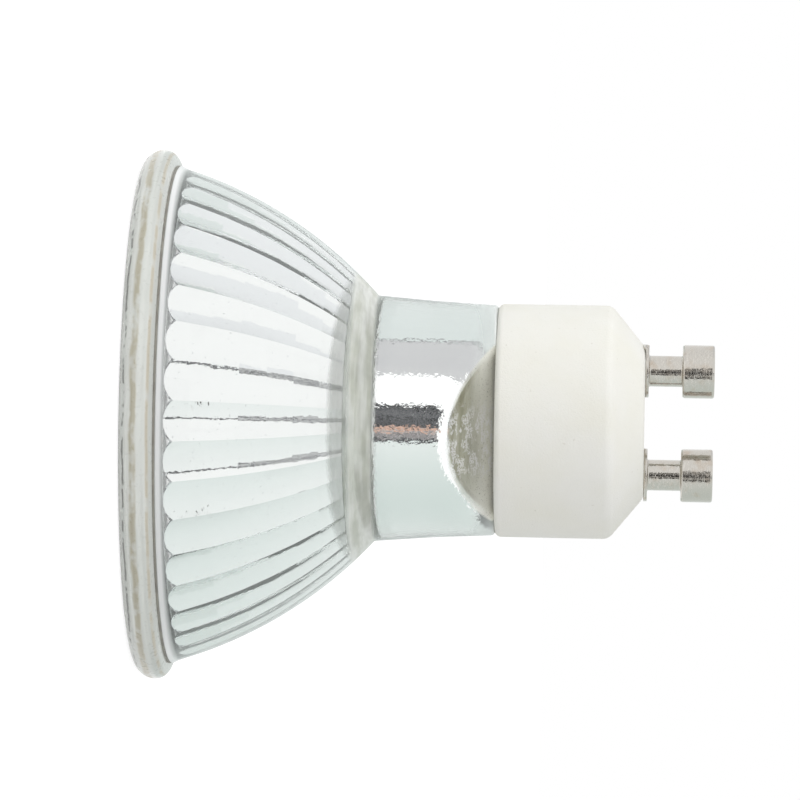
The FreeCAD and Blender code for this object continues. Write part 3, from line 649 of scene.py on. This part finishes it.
def nickel():
    """Bright turned nickel: tool marks round the axis, fine scratches and a warm tarnish."""
    finish = Finish("nickel")
    turned = finish.streaks((60.0, 60.0, 9000.0), 4.0)
    scratches = finish.streaks((9000.0, 9000.0, 500.0)).between(0.62, 0.7)
    cloud = finish.noise(900.0, 3.0)
    tarnish = cloud.between(0.5, 0.75)
    metal = finish.blend(tarnish * 0.6, colours().nickel, (0.50, 0.41, 0.32))
    mottled = finish.noise(3200.0)
    return finish.surface(
        Base_Color=metal, Metallic=1.0, Roughness=turned * 0.08 + 0.07 + scratches * 0.12 + tarnish * 0.06,
        Normal=finish.bump(turned * 0.3 + mottled, 0.017))


def wire_metal(name, base, varied, roughness):
    """Drawn wire: fine lines along it and a slow change of shade."""
    finish = Finish(name)
    lines = finish.streaks((16000.0, 16000.0, 700.0))
    slow = finish.noise(1500.0)
    return finish.surface(
        Base_Color=finish.blend(slow.between(0.3, 0.7), base, varied), Metallic=1.0,
        Roughness=lines * 0.2 + roughness, Normal=finish.bump(lines, 0.008))


def solder():
    """Solder that set in a puddle and went dull."""
    finish = Finish("solder")
    puddle = finish.noise(1400.0)
    dull = finish.noise(6000.0)
    return finish.surface(
        Base_Color=finish.blend(dull.between(0.4, 0.7), (0.62, 0.62, 0.61), (0.42, 0.42, 0.42)), Metallic=0.9,
        Roughness=dull * 0.3 + 0.3, Normal=finish.bump(puddle + dull * 0.15, 0.2))


def woven_sleeve():
    """Glass fibre braid: two sets of threads that cross round the wire."""
    finish = Finish("woven_sleeve")
    inputs = {"Vector": finish.place(), "Scale": 900.0, "Distortion": 0.4}
    across = finish.add("TexWave", {"bands_direction": "DIAGONAL"}, inputs, "Fac")
    along = finish.add("TexWave", {"bands_direction": "Z"}, inputs, "Fac")
    threads = across.larger(along)
    fuzz = finish.noise(9000.0)
    return finish.surface(
        Base_Color=finish.blend(threads, (0.55, 0.54, 0.48), (0.86, 0.86, 0.80)), Roughness=fuzz * 0.2 + 0.7,
        Normal=finish.bump(threads + fuzz * 0.2, 0.06))


def fuse_glaze():
    """Glazed ceramic of the fuse."""
    finish = Finish("fuse_glaze")
    slow = finish.noise(1800.0)
    fine = finish.noise(9000.0)
    return finish.surface(
        Base_Color=finish.blend(slow.between(0.35, 0.65), (0.80, 0.80, 0.75), (0.68, 0.67, 0.60)),
        Roughness=fine * 0.15 + 0.2, Normal=finish.bump(fine, 0.01))


# Pieces

class BULB_OT_cover_glass(bpy.types.Operator):
    """Makes the moulded front glass"""

    bl_idname = "bulb.cover_glass"
    bl_label = "Front glass"

    def execute(self, context):
        size = context.scene.bulb_cover
        radius, back = COVER_HIGH.x, COVER_HIGH.z
        recess = radius - size.back_round - size.seat
        soft = 0.3 * MM
        line = Outline(0, 0)
        line.line(radius - size.front_round, 0, steps=8)
        line.arc(radius, size.front_round, size.front_round, 1, 14)
        line.arc(radius - size.back_round, back, size.back_round, 1, 12)
        line.line(SEAL_HIGH.x, back, kind=1)
        line.line(SEAL_HIGH.x - size.seal_width, back, kind=1)
        line.line(recess + soft, back)
        line.arc(recess, back - soft, soft, 1, 4)
        line.line(recess, size.pane + soft)
        line.arc(recess - soft, size.pane, soft, -1, 4)
        line.line(0, size.pane, steps=8)
        bm = line.turn(192)
        smooth_with_creases(bm, math.radians(40))
        kinds = bm.verts.layers.int["kind"]
        for face in bm.faces:
            if all(vert[kinds] == 1 for vert in face.verts):
                face.material_index = 1
        even = (700.0, 700.0, 700.0)
        seal = against_glass("seal_at_front", (0.90, 0.88, 0.80), (0.96, 0.96, 0.94), even, 0.004)
        place_piece(bm, "front_glass", [front_glass(), seal], ["cover_glass"])
        return {"FINISHED"}


# Kinds of points on the reflector's outline, and its finishes
NECK, TANG, SLOT, LAND, SCALLOP, EDGE, FACET, COLLAR, BORE, FLOOR, RIM, SEALED, BOWL = range(1, 14)
CLEAR, MIRRORED, NECK_MIRRORED, ON_CEMENT, ON_SEALANT, ON_COLLAR, DULL = range(7)


def finish_of(kinds):
    """The finish of a face of the reflector whose points are of these kinds."""
    if kinds == {SCALLOP, EDGE}:
        return DULL
    if kinds <= {LAND, SCALLOP, EDGE, FACET} or kinds == {FACET, COLLAR}:
        return MIRRORED
    if COLLAR in kinds and kinds <= {COLLAR, BORE}:
        return ON_COLLAR
    if kinds == {BORE}:
        return NECK_MIRRORED
    if kinds <= {BORE, FLOOR, SLOT} or TANG in kinds:
        return ON_CEMENT
    if kinds <= {SEALED, LAND}:
        return ON_SEALANT
    return CLEAR


class BULB_OT_reflector_glass(bpy.types.Operator):
    """Makes the glass bowl and neck with the faceted mirror inside"""

    bl_idname = "bulb.reflector_glass"
    bl_label = "Reflector"

    def execute(self, context):
        size = context.scene.bulb_reflector
        rim_z, rim_radius = GLASS_LOW.z, GLASS_HIGH.x
        bowl_z = rim_z + size.rim_height
        bowl_end = bowl_z + size.bowl_length
        neck_z, neck_end, tang_end = bowl_end + size.fillet_length, BASE_LOW.z, GLASS_HIGH.z
        mouth, land = rim_radius - size.rim_draft, rim_radius - size.rim_width
        end_radius = size.neck_radius + size.neck_flare
        last = size.neck_radius - size.neck_taper
        floor_z = neck_end - size.neck_floor
        bore = size.neck_radius - size.neck_wall + size.film
        centre = self.bowl_centre(size, mouth, bowl_z, end_radius, bowl_end)
        bend = size.bowl_bend - size.wall
        first_z, last_z = rim_z + size.land_length, bowl_end - size.facet_inset
        low, high = [math.asin((z - centre.z) / bend) for z in (first_z, last_z)]
        rings = []
        for ring in range(size.rings + 1):
            angle = low + (high - low) * ring / size.rings
            rings.append((centre.x + bend * math.cos(angle), centre.z + bend * math.sin(angle)))

        line = Outline(land, rim_z, LAND)
        line.line(SEAL_HIGH.x - context.scene.bulb_cover.seal_width, rim_z, SEALED)
        line.line(rim_radius - size.rim_edge, rim_z, SEALED, 2)
        line.arc(rim_radius, rim_z + size.rim_edge, size.rim_edge, 1, 3, RIM)
        line.line(mouth, bowl_z, RIM, 3)
        line.arc(end_radius, bowl_end, size.bowl_bend, 1, 36, BOWL)
        line.arc(size.neck_radius + size.neck_start, neck_z, size.neck_fillet, -1, 6, NECK)
        line.line(last + size.flat_zone_swell, neck_end - size.flat_zone, NECK, 10)
        line.line(last, neck_end - size.neck_edge, NECK, 26)
        line.arc(last - size.neck_edge, neck_end, size.neck_edge, 1, 5, NECK)
        line.line(size.tang_radius, neck_end, TANG)
        line.line(size.tang_radius, tang_end, TANG)
        line.line(size.slot_width, tang_end, SLOT)
        line.line(size.slot_width, floor_z, SLOT, 4)
        line.line(bore, floor_z, FLOOR, 3)
        line.line(bore, neck_end - size.bore_zone, BORE, 20)
        line.line(bore, last_z + size.collar_length, BORE, 5)
        line.line((bore + rings[-1][0]) / 2, last_z + size.collar_length / 2, COLLAR)
        line.line(rings[-1][0] - size.collar_step, last_z, COLLAR, 3)
        for radius, height in reversed(rings[1:]):
            line.line(radius, height, FACET)
        line.line(rings[0][0], rings[0][1], EDGE)
        line.line(rings[0][0], rings[0][1] - 0.1 * MM, SCALLOP)
        line.close()
        bm = line.turn(size.columns * 8)
        self.press(bm, size, rings, land, rim_z, neck_end)
        self.finish(bm, size)
        cement_pale, cement_base = (0.90, 0.89, 0.82), (0.72, 0.70, 0.56)
        finishes = [
            reflector_glass(), mirror_coat(), neck_mirror(),
            against_glass("cement_at_glass", cement_base, cement_pale, (160.0, 900.0, 2600.0)),
            against_glass("seal_at_rim", (0.93, 0.93, 0.91), (0.97, 0.975, 0.965), (700.0, 700.0, 700.0)),
            collar_coat(), dull_edge(),
        ]
        place_piece(bm, "reflector", finishes, ["reflector_glass"])
        return {"FINISHED"}

    def bowl_centre(self, size, mouth, bowl_z, end_radius, bowl_end):
        start, end = Vector((mouth, 0, bowl_z)), Vector((end_radius, 0, bowl_end))
        chord = end - start
        left = Vector((-chord.z, 0, chord.x)).normalized()
        return (start + end) / 2 + left * math.sqrt(size.bowl_bend ** 2 - chord.length_squared / 4)

    def crown(self, size, angle):
        """How far the mirror stands in from its corners at this angle, as a share of their radius."""
        step = math.tau / size.columns
        within = (angle + step / 2) % step - step / 2
        half = math.sin(step / 2)
        rise = size.facet_crown * 2 * half
        bend = (half ** 2 + rise ** 2) / (2 * rise)
        centre = math.cos(step / 2) - rise + bend
        return centre * math.cos(within) - math.sqrt(bend ** 2 - (centre * math.sin(within)) ** 2)

    def press(self, bm, size, rings, land, rim_z, neck_end):
        """Gives the turned form its flats, tang, slot and facets."""
        kinds = bm.verts.layers.int["kind"]
        (first, first_z), (second, second_z) = rings[:2]
        slope = (first - second) / (second_z - first_z)
        for vert in bm.verts:
            kind, angle = vert[kinds], angle_of(vert)
            if kind == NECK:
                self.press_flat(vert, size.flat_distance + neck_end - vert.co.z, size.flat_soften)
            elif kind in (BORE, FLOOR):
                limit = size.flat_distance - size.flat_wall + neck_end - vert.co.z
                self.press_flat(vert, limit + size.film, size.flat_soften / 3)
            elif kind == TANG:
                depth = size.flat_distance - size.tang_step
                set_radius(vert, box_radius(angle, size.tang_width, depth, size.tang_radius))
            elif kind == SLOT:
                set_radius(vert, box_radius(angle, size.slot_width, size.slot_depth))
            elif kind == FACET:
                set_radius(vert, radius_of(vert) * self.crown(size, angle))
            elif kind in (SCALLOP, EDGE):
                share = self.crown(size, angle)
                height = (land + size.land_slope * rim_z - share * (first + slope * first_z)) / (
                    size.land_slope - share * slope)
                if kind == EDGE:
                    # Near a scallop's tip the share comes close to 1, and there the edge is 3.5 times as wide
                    tip = max(0.0, share - 0.992) / 0.008
                    height += size.edge_width * (1 + 2.5 * tip)
                set_radius(vert, share * (first + slope * (first_z - height)))
                vert.co.z = height

    def press_flat(self, vert, limit, soften):
        """Holds a point within the flats on both sides, with a rounded change."""
        if vert.co.y:
            vert.co.y = math.copysign(softer_of(abs(vert.co.y), limit, soften), vert.co.y)

    def finish(self, bm, size):
        """Sets each face's finish and the creases between facets."""
        kinds = bm.verts.layers.int["kind"]
        step = math.tau / size.columns
        for face in bm.faces:
            face.material_index = finish_of({vert[kinds] for vert in face.verts})
            face.smooth = True
        for edge in bm.edges:
            first, second = edge.verts
            found = {first[kinds], second[kinds]}
            if found <= {FACET, SCALLOP, EDGE}:
                along = abs(radius_of(first) - radius_of(second)) > 0.3 * MM
                off = (angle_of(first) + step / 2) % step
                between_columns = min(off, step - off) < step * 0.02
                edge.smooth = along and not between_columns
            elif edge.calc_face_angle(0) > math.radians(30):
                edge.smooth = False


class BULB_OT_capsule(bpy.types.Operator):
    """Makes the quartz capsule with its exhaust tip and flat pinch"""

    bl_idname = "bulb.capsule"
    bl_label = "Capsule"

    def execute(self, context):
        size = context.scene.bulb_capsule
        low, high, radius = CAPSULE_LOW.z, CAPSULE_HIGH.z, size.radius
        dome, tube, tube_end = low + size.tip, low + size.dome, low + size.tube
        line = Outline(0, low)
        line.arc(size.tip_radius, dome, size.tip, 1, 6)
        line.arc(radius, tube, size.dome_bend, 1, 12)
        line.line(radius, tube_end, steps=4)
        line.line(radius, tube_end + size.pinch_start, kind=1, steps=10)
        line.line(radius, high - size.pinch_edge, kind=1, steps=6)
        line.line(radius - size.pinch_edge, high, kind=1)
        line.line(0, high)
        bm = line.turn(64)
        kinds = bm.verts.layers.int["kind"]
        for vert in bm.verts:
            if vert[kinds] == 1:
                share = min(1.0, max(0.0, (vert.co.z - tube_end) / size.pinch_run))
                share = share * share * (3 - 2 * share)
                flat = box_radius(angle_of(vert), size.pinch_width, size.pinch_depth)
                edge = radius - radius_of(vert)
                set_radius(vert, radius + (flat - radius) * share - edge)
        inner, hollow_end = radius - size.wall, tube_end + size.hollow_end
        hollow = Outline(0, dome + size.wall)
        hollow.arc(inner, tube, size.dome_bend, 1, 12)
        hollow.line(inner, tube_end - size.wall, steps=4)
        hollow.arc(inner - size.hollow_step, hollow_end, size.hollow_bend, 1, 8)
        hollow.line(0, hollow_end)
        inside = bpy.data.meshes.new("capsule_hollow")
        hollow.turn(64).to_mesh(inside)
        hollow.bm.free()
        bm.from_mesh(inside)
        bpy.data.meshes.remove(inside)
        smooth_with_creases(bm, math.radians(40))
        place_piece(bm, "capsule", [quartz()], ["capsule_envelope"])
        return {"FINISHED"}


class BULB_OT_filament(bpy.types.Operator):
    """Winds the coiled filament from one lead round its support to the other"""

    bl_idname = "bulb.filament"
    bl_label = "Filament"

    def execute(self, context):
        size = context.scene.bulb_filament
        bend = size.spacing / 2
        leg = FILAMENT_HIGH.z - FILAMENT_LOW.z - bend - size.room
        total = 2 * leg + math.pi * bend
        turns = int(total / size.pitch)
        bm = bmesh.new()
        ring = bmesh.ops.create_circle(bm, cap_ends=False, segments=6, radius=size.wire)
        upright = Matrix.Rotation(math.radians(-90), 3, "X")
        bmesh.ops.rotate(bm, verts=ring["verts"], cent=(0, 0, 0), matrix=upright)
        bmesh.ops.translate(bm, verts=ring["verts"], vec=(size.coil, 0, 0))
        steps = turns * 12
        bmesh.ops.spin(
            bm, geom=bm.verts[:] + bm.edges[:], cent=(0, 0, 0), axis=(0, 0, 1), dvec=(0, 0, total / steps),
            angle=math.tau * turns, steps=steps, use_duplicate=False)
        bmesh.ops.holes_fill(bm, edges=[edge for edge in bm.edges if edge.is_boundary], sides=0)
        top = FILAMENT_HIGH.z
        for vert in bm.verts:
            vert.co = self.along(vert.co, bend, leg, top)
        for face in bm.faces:
            face.smooth = True
        place_piece(bm, "coiled_filament", [bpy.data.materials["tungsten"]], ["filament"])
        return {"FINISHED"}

    def along(self, point, bend, leg, top):
        """Carries a point of the straight coil to the bent one."""
        x, y, run = point
        arc = math.pi * bend
        if run < leg:
            return Vector((-bend + x, y, top - run))
        if run < leg + arc:
            angle = (run - leg) / bend
            radius = bend - x
            return Vector((-radius * math.cos(angle), y, top - leg - radius * math.sin(angle)))
        return Vector((bend - x, y, top - leg + run - leg - arc))


class BULB_OT_ceramic_base(bpy.types.Operator):
    """Makes the ceramic base with its chamfer, socket and wire cavity"""

    bl_idname = "bulb.ceramic_base"
    bl_label = "Ceramic base"

    def execute(self, context):
        size = context.scene.bulb_base
        low, high, radius = BASE_LOW.z, BASE_HIGH.z, BASE_HIGH.x
        chamfer, wall = high - size.chamfer, high - size.end_wall
        soft = size.soften
        slant = Vector((size.face_radius - radius, size.chamfer)).normalized()
        line = Outline(0, high)
        line.line(size.face_radius - soft, high, steps=6)
        corner = Vector((size.face_radius, high)) - slant * soft
        line.arc(corner.x, corner.y, soft * 2.4, -1, 6)
        corner = Vector((radius, chamfer)) + slant * soft
        line.line(corner.x, corner.y, steps=4)
        line.arc(radius, chamfer - soft, soft * 2.4, -1, 6)
        line.line(radius, low + size.edge, steps=8)
        line.arc(radius - size.edge, low, size.edge, -1, 8)
        line.line(size.socket_radius, low, kind=1)
        line.line(size.socket_radius, low + size.socket_length, kind=1)
        line.line(size.cavity_radius, low + size.socket_length, kind=2)
        line.line(size.cavity_radius, wall, kind=2)
        line.line(0, wall)
        bm = line.turn(192)
        kinds = bm.verts.layers.int["kind"]
        for vert in bm.verts:
            angle = angle_of(vert)
            if vert[kinds] == 1:
                set_radius(vert, box_radius(angle, size.socket_width, size.socket_depth, size.socket_radius))
            elif vert[kinds] == 2:
                set_radius(vert, box_radius(angle, size.cavity_width, size.cavity_depth))
        smooth_with_creases(bm, math.radians(25))
        place_piece(bm, "base", [cream_ceramic()], ["ceramic_base"])
        return {"FINISHED"}


class BULB_OT_contact_pins(bpy.types.Operator):
    """Makes the two headed contact pins"""

    bl_idname = "bulb.contact_pins"
    bl_label = "Contact pins"

    def execute(self, context):
        size, metal = context.scene.bulb_pins, nickel()
        for name, node, side in (("pin_a", "contact_pin_a", -1), ("pin_b", "contact_pin_b", 1)):
            bm = self.turned_pin(size)
            if side < 0:
                self.bend_lip(bm, size)
            bmesh.ops.translate(bm, verts=bm.verts, vec=(size.offset * side, 0, 0))
            smooth_with_creases(bm, math.radians(40))
            place_piece(bm, name, [metal], [node])
        return {"FINISHED"}

    def turned_pin(self, size):
        foot, end, rivet_end = BASE_HIGH.z, PIN_HIGH.z, PIN_LOW.z
        flange, head, rivet_face = foot + size.flange, end - size.head_length, rivet_end + size.rivet_length
        shaft, wide, bore, edge = size.shaft, size.head, size.bore, size.edge
        small, thin = 0.1 * MM, 0.08 * MM
        hollow, corner = 0.15 * MM, 0.12 * MM
        line = Outline(bore, rivet_end)
        line.line(size.rivet - small, rivet_end)
        line.arc(size.rivet, rivet_end + small, small, 1, 3)
        line.line(size.rivet, rivet_face)
        line.line(shaft, rivet_face)
        line.line(shaft, foot)
        line.line(wide - thin, foot)
        line.arc(wide, foot + thin, thin, 1, 3)
        line.line(wide, flange - thin)
        line.arc(wide - thin, flange, thin, 1, 3)
        line.line(shaft + hollow, flange)
        line.arc(shaft, flange + hollow, hollow, -1, 4)
        line.held(shaft, head - corner)
        line.arc(shaft + corner, head, corner, -1, 3)
        line.line(wide - edge, head)
        line.arc(wide, head + edge, edge, 1, 4)
        line.held(wide, end - edge)
        line.arc(wide - edge, end, edge, 1, 4)
        line.line(bore + small, end)
        line.arc(bore, end - small, small, 1, 3)
        line.line(bore, rivet_end, steps=3)
        return line.turn(96)

    def bend_lip(self, bm, size):
        """Bends a stretch of the flange's edge down over the chamfer."""
        foot, half, ramp = BASE_HIGH.z, math.radians(22), math.radians(6)
        for vert in bm.verts:
            on_flange = foot - 0.01 * MM < vert.co.z < foot + 0.4 * MM
            off = abs(math.pi - abs(angle_of(vert)))
            if on_flange and radius_of(vert) > size.head - 0.2 * MM and off < half:
                vert.co.z -= size.lip * min(1.0, (half - off) / ramp)


class BULB_OT_inner_parts(bpy.types.Operator):
    """Gives the leads, cement, wires, fuse and solder their finishes"""

    bl_idname = "bulb.inner_parts"
    bl_label = "Inner parts"

    def execute(self, context):
        molybdenum = wire_metal("molybdenum", (0.42, 0.42, 0.44), (0.52, 0.52, 0.53), 0.25)
        copper = wire_metal("copper_wire", (0.80, 0.50, 0.34), (0.62, 0.38, 0.26), 0.25)
        wire_metal("tungsten", (0.27, 0.27, 0.29), (0.36, 0.36, 0.38), 0.3)
        finishes = {
            "cover_seal": sealant(),
            "filament_support": molybdenum,
            "neck_cement": cement("neck_cement", (0.42, 0.40, 0.30)),
            "base_cement": cement("base_cement", (0.55, 0.53, 0.44)),
            "lead_splice": wire_metal("splice_metal", (0.62, 0.60, 0.56), (0.50, 0.48, 0.44), 0.25),
            "fuse_link": fuse_glaze(),
        }
        sleeve, joint = woven_sleeve(), solder()
        for side in ("a", "b"):
            finishes[f"inner_lead_{side}"] = molybdenum
            finishes[f"outer_lead_{side}"] = molybdenum
            finishes[f"foil_{side}"] = molybdenum
            finishes[f"feed_wire_{side}"] = copper
            finishes[f"wire_sleeve_{side}"] = sleeve
            finishes[f"pin_solder_{side}"] = joint
        for node, material in finishes.items():
            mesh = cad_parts[node].data
            mesh.materials.clear()
            mesh.materials.append(material)
        return {"FINISHED"}


# Cards that only metal and glass see: angles round and up, distance in metres, two colours, their pattern
CARDS = (
    ("pin_card", -29, 16, 23, 32, 0.11, (0.02, 0.017, 0.014), (0.80, 0.78, 0.75), "patches"),
    ("camera_card", -9, 14, -2, 14, 0.11, (0.02, 0.02, 0.022), (0.16, 0.16, 0.17), "streaks"),
    ("copper_card", -13, -9, -2, 14, 0.11, (0.52, 0.28, 0.19), (0.74, 0.50, 0.40), "streaks"),
    ("grey_card", -21, -13, -2, 14, 0.11, (0.20, 0.18, 0.18), (0.55, 0.53, 0.53), "streaks"),
    ("edge_card", -25, -21, -2, 14, 0.11, (0.02, 0.02, 0.022), (0.16, 0.16, 0.17), "streaks"),
    ("low_card", -178, -25, -2, 20, 0.11, (0.86, 0.90, 0.885), (0.66, 0.735, 0.71), "fade"),
    ("seam_card", -9, -7, 20, 86, 0.19, (0.05, 0.05, 0.055), (0.10, 0.10, 0.11), "streaks"),
    ("step_card", -15, -5, 46, 62, 0.186, (0.05, 0.05, 0.055), (0.68, 0.68, 0.69), "streaks"),
    ("neck_card", -25, 0, 62, 88, 0.185, (0.05, 0.05, 0.06), (0.68, 0.68, 0.69), "streaks"),
    ("green_card", -178, -8, 12, 88, 0.20, (0.93, 0.95, 0.945), (0.76, 0.83, 0.81), "fade"),
    ("lavender_card", 47, 89, -2, 20, 0.11, (0.61, 0.61, 0.625), (0.66, 0.655, 0.665), "streaks"),
    ("line_card", 89, 91, -2, 20, 0.11, (0.15, 0.15, 0.16), (0.30, 0.30, 0.31), "streaks"),
    ("top_card", 91, 178, -2, 20, 0.11, (0.74, 0.79, 0.78), (0.70, 0.75, 0.74), "fade"),
    ("upper_card", 72, 178, 20, 50, 0.18, (0.87, 0.88, 0.90), (0.82, 0.86, 0.86), "fade"),
)


class BULB_OT_stage(bpy.types.Operator):
    """Sets up the floor, the light, the cards that the glass reflects and the camera"""

    bl_idname = "bulb.stage"
    bl_label = "Stage"

    def execute(self, context):
        settings = context.scene.bulb_stage
        self.make_world(context)
        self.make_floor(context)
        self.make_lamps(context)
        for card in CARDS:
            self.make_card(context, *card)
        self.make_camera(context, settings)
        context.scene.view_settings.view_transform = "Standard"
        return {"FINISHED"}

    def seen(self, finish):
        """1 where the camera looks straight at it, or by way of metal or glass."""
        node = finish.add("LightPath").socket.node
        rays = [Value(finish.tree, node.outputs[name]) for name in
                ("Is Camera Ray", "Is Glossy Ray", "Is Transmission Ray")]
        return rays[0].larger(rays[1]).larger(rays[2])

    def make_world(self, context):
        finish = Finish("studio", "worlds")
        context.scene.world = finish.material
        seen = self.seen(finish)
        light = finish.add("Background", inputs={"Color": (1, 1, 1, 1), "Strength": seen * 0.4 + 0.6})
        finish.add("OutputWorld", inputs={"Surface": light})

    def make_floor(self, context):
        bm = bmesh.new()
        bmesh.ops.create_grid(bm, x_segments=1, y_segments=1, size=2.0)
        bmesh.ops.translate(bm, verts=bm.verts, vec=(0, 0, -0.1 * MM))
        finish = Finish("floor")
        seen = self.seen(finish)
        matte = finish.add("BsdfDiffuse", inputs={"Color": (0.86, 0.86, 0.86, 1)})
        shaded = finish.add("BsdfDiffuse", inputs={"Color": (0.3, 0.3, 0.3, 1)})
        glow = finish.add("Emission", inputs={"Color": (1, 1, 1, 1), "Strength": 0.88})
        white = finish.add("AddShader", inputs={0: shaded, 1: glow})
        top = finish.add("MixShader", inputs={0: seen, 1: matte, 2: white})
        clear = finish.add("BsdfTransparent", inputs={"Color": (1, 1, 1, 1)})
        below = finish.add("NewGeometry", output="Backfacing")
        finish.end(finish.add("MixShader", inputs={0: below, 1: top, 2: clear}))
        self.stage_object(context, bm, "floor", finish.material)

    def stage_object(self, context, bm, name, material):
        mesh = bpy.data.meshes.new(name)
        bm.to_mesh(mesh)
        bm.free()
        mesh.materials.append(material)
        item = bpy.data.objects.new(name, mesh)
        context.scene.collection.objects.link(item)
        return item

    def direction(self, around, up=0.0):
        """A direction in degrees: around from the camera towards the picture's top, and up the axis."""
        turn, around, up = bpy.context.scene.bulb_stage.azimuth, math.radians(around), math.radians(up)
        toward = Vector((math.sin(turn), -math.cos(turn), 0))
        rise = Vector((-math.cos(turn), -math.sin(turn), 0))
        flat = toward * math.cos(around) + rise * math.sin(around)
        return flat * math.cos(up) + Vector((0, 0, math.sin(up)))

    def make_lamps(self, context):
        for name, around, up, distance, size, power in (
            ("key_lamp", 62, 35, 0.9, 0.7, 3.4),
            ("fill_lamp", -25, 45, 1.0, 0.8, 1.2),
        ):
            lamp = bpy.data.lights.new(name, "AREA")
            lamp.energy = power
            lamp.size = size
            item = bpy.data.objects.new(name, lamp)
            place = self.direction(around, up) * distance
            item.location = place
            item.rotation_mode = "QUATERNION"
            item.rotation_quaternion = (-place).to_track_quat("-Z", "Y")
            item.visible_glossy = False
            item.visible_transmission = False
            context.scene.collection.objects.link(item)

    def make_card(self, context, name, low, high, bottom, top, radius, shade, far, pattern):
        """A glowing card between two angles round and two angles up the axis, in degrees."""
        bottom, top = math.radians(bottom), math.radians(top)
        line = Outline(radius * math.cos(bottom), radius * math.sin(bottom))
        line.arc(radius * math.cos(top), radius * math.sin(top), radius, 1, 16)
        bm = line.bm
        begin, end = self.direction(low), self.direction(high)
        turn = Matrix.Rotation(math.atan2(begin.y, begin.x), 3, "Z")
        sweep = math.atan2(begin.cross(end).z, begin.dot(end))
        bmesh.ops.rotate(bm, verts=bm.verts, cent=(0, 0, 0), matrix=turn)
        bmesh.ops.spin(
            bm, geom=bm.verts[:] + bm.edges[:], cent=(0, 0, 0), axis=(0, 0, 1), dvec=(0, 0, 0),
            angle=sweep, steps=max(2, int(abs(high - low) / 2)), use_duplicate=False)
        finish = Finish(name)
        share = self.share_of(finish, pattern, radius)
        finish.end(finish.add("Emission", inputs={"Color": finish.blend(share, shade, far), "Strength": 1.0}))
        item = self.stage_object(context, bm, name, finish.material)
        item.visible_camera = False
        item.visible_diffuse = False
        item.visible_shadow = False

    def share_of(self, finish, pattern, radius):
        """How the second colour of a card is spread over it."""
        if pattern == "patches":
            return finish.noise(60.0).between(0.52, 0.60)
        if pattern == "streaks":
            return finish.streaks((420.0, 420.0, 25.0), 2.0).between(0.42, 0.58)
        return finish.axes()[0].between(0, radius / MM)

    def make_camera(self, context, settings):
        camera = bpy.data.cameras.new("camera")
        camera.lens = settings.lens
        camera.sensor_width = 36.0
        camera.clip_start, camera.clip_end = 0.01, 10.0
        item = bpy.data.objects.new("camera", camera)
        context.scene.collection.objects.link(item)
        rise = self.direction(90)
        place = self.direction(0) * settings.distance + Vector((0, 0, settings.camera_height))
        aim = rise * settings.aim_rise + Vector((0, 0, settings.aim_height))
        back = (place - aim).normalized()
        right = rise.cross(back).normalized()
        right = right * math.cos(settings.roll) + back.cross(right) * math.sin(settings.roll)
        item.location = place
        item.rotation_mode = "QUATERNION"
        item.rotation_quaternion = Matrix((right, back.cross(right), back)).transposed().to_quaternion()
        context.scene.camera = item


STEPS = (
    "inner_parts", "cover_glass", "reflector_glass", "capsule", "filament",
    "ceramic_base", "contact_pins", "stage",
)


class BULB_PT_panel(bpy.types.Panel):
    bl_idname = "BULB_PT_panel"
    bl_label = "Spotlight bulb"
    bl_space_type = "VIEW_3D"
    bl_region_type = "UI"
    bl_category = "Bulb"

    def draw(self, context):
        for step in STEPS:
            self.layout.operator("bulb." + step)
        for name in GROUPS:
            group = getattr(context.scene, name)
            box = self.layout.box()
            for key in group.__annotations__:
                box.prop(group, key)


GROUPS = {
    "bulb_cover": CoverSizes,
    "bulb_reflector": ReflectorSizes,
    "bulb_base": BaseSizes,
    "bulb_pins": PinSizes,
    "bulb_capsule": CapsuleSizes,
    "bulb_filament": FilamentSizes,
    "bulb_colours": BulbColours,
    "bulb_stage": StageSettings,
}

CLASSES = (
    *GROUPS.values(),
    BULB_OT_inner_parts, BULB_OT_cover_glass, BULB_OT_reflector_glass, BULB_OT_capsule, BULB_OT_filament,
    BULB_OT_ceramic_base, BULB_OT_contact_pins, BULB_OT_stage, BULB_PT_panel,
)


def register():
    for item in CLASSES:
        bpy.utils.register_class(item)
    for name, group in GROUPS.items():
        setattr(bpy.types.Scene, name, bpy.props.PointerProperty(type=group))


def unregister():
    for name in GROUPS:
        delattr(bpy.types.Scene, name)
    for item in reversed(CLASSES):
        bpy.utils.unregister_class(item)


def main():
    register()
    for step in STEPS:
        getattr(bpy.ops.bulb, step)()


if __name__ == "__main__":
    main()
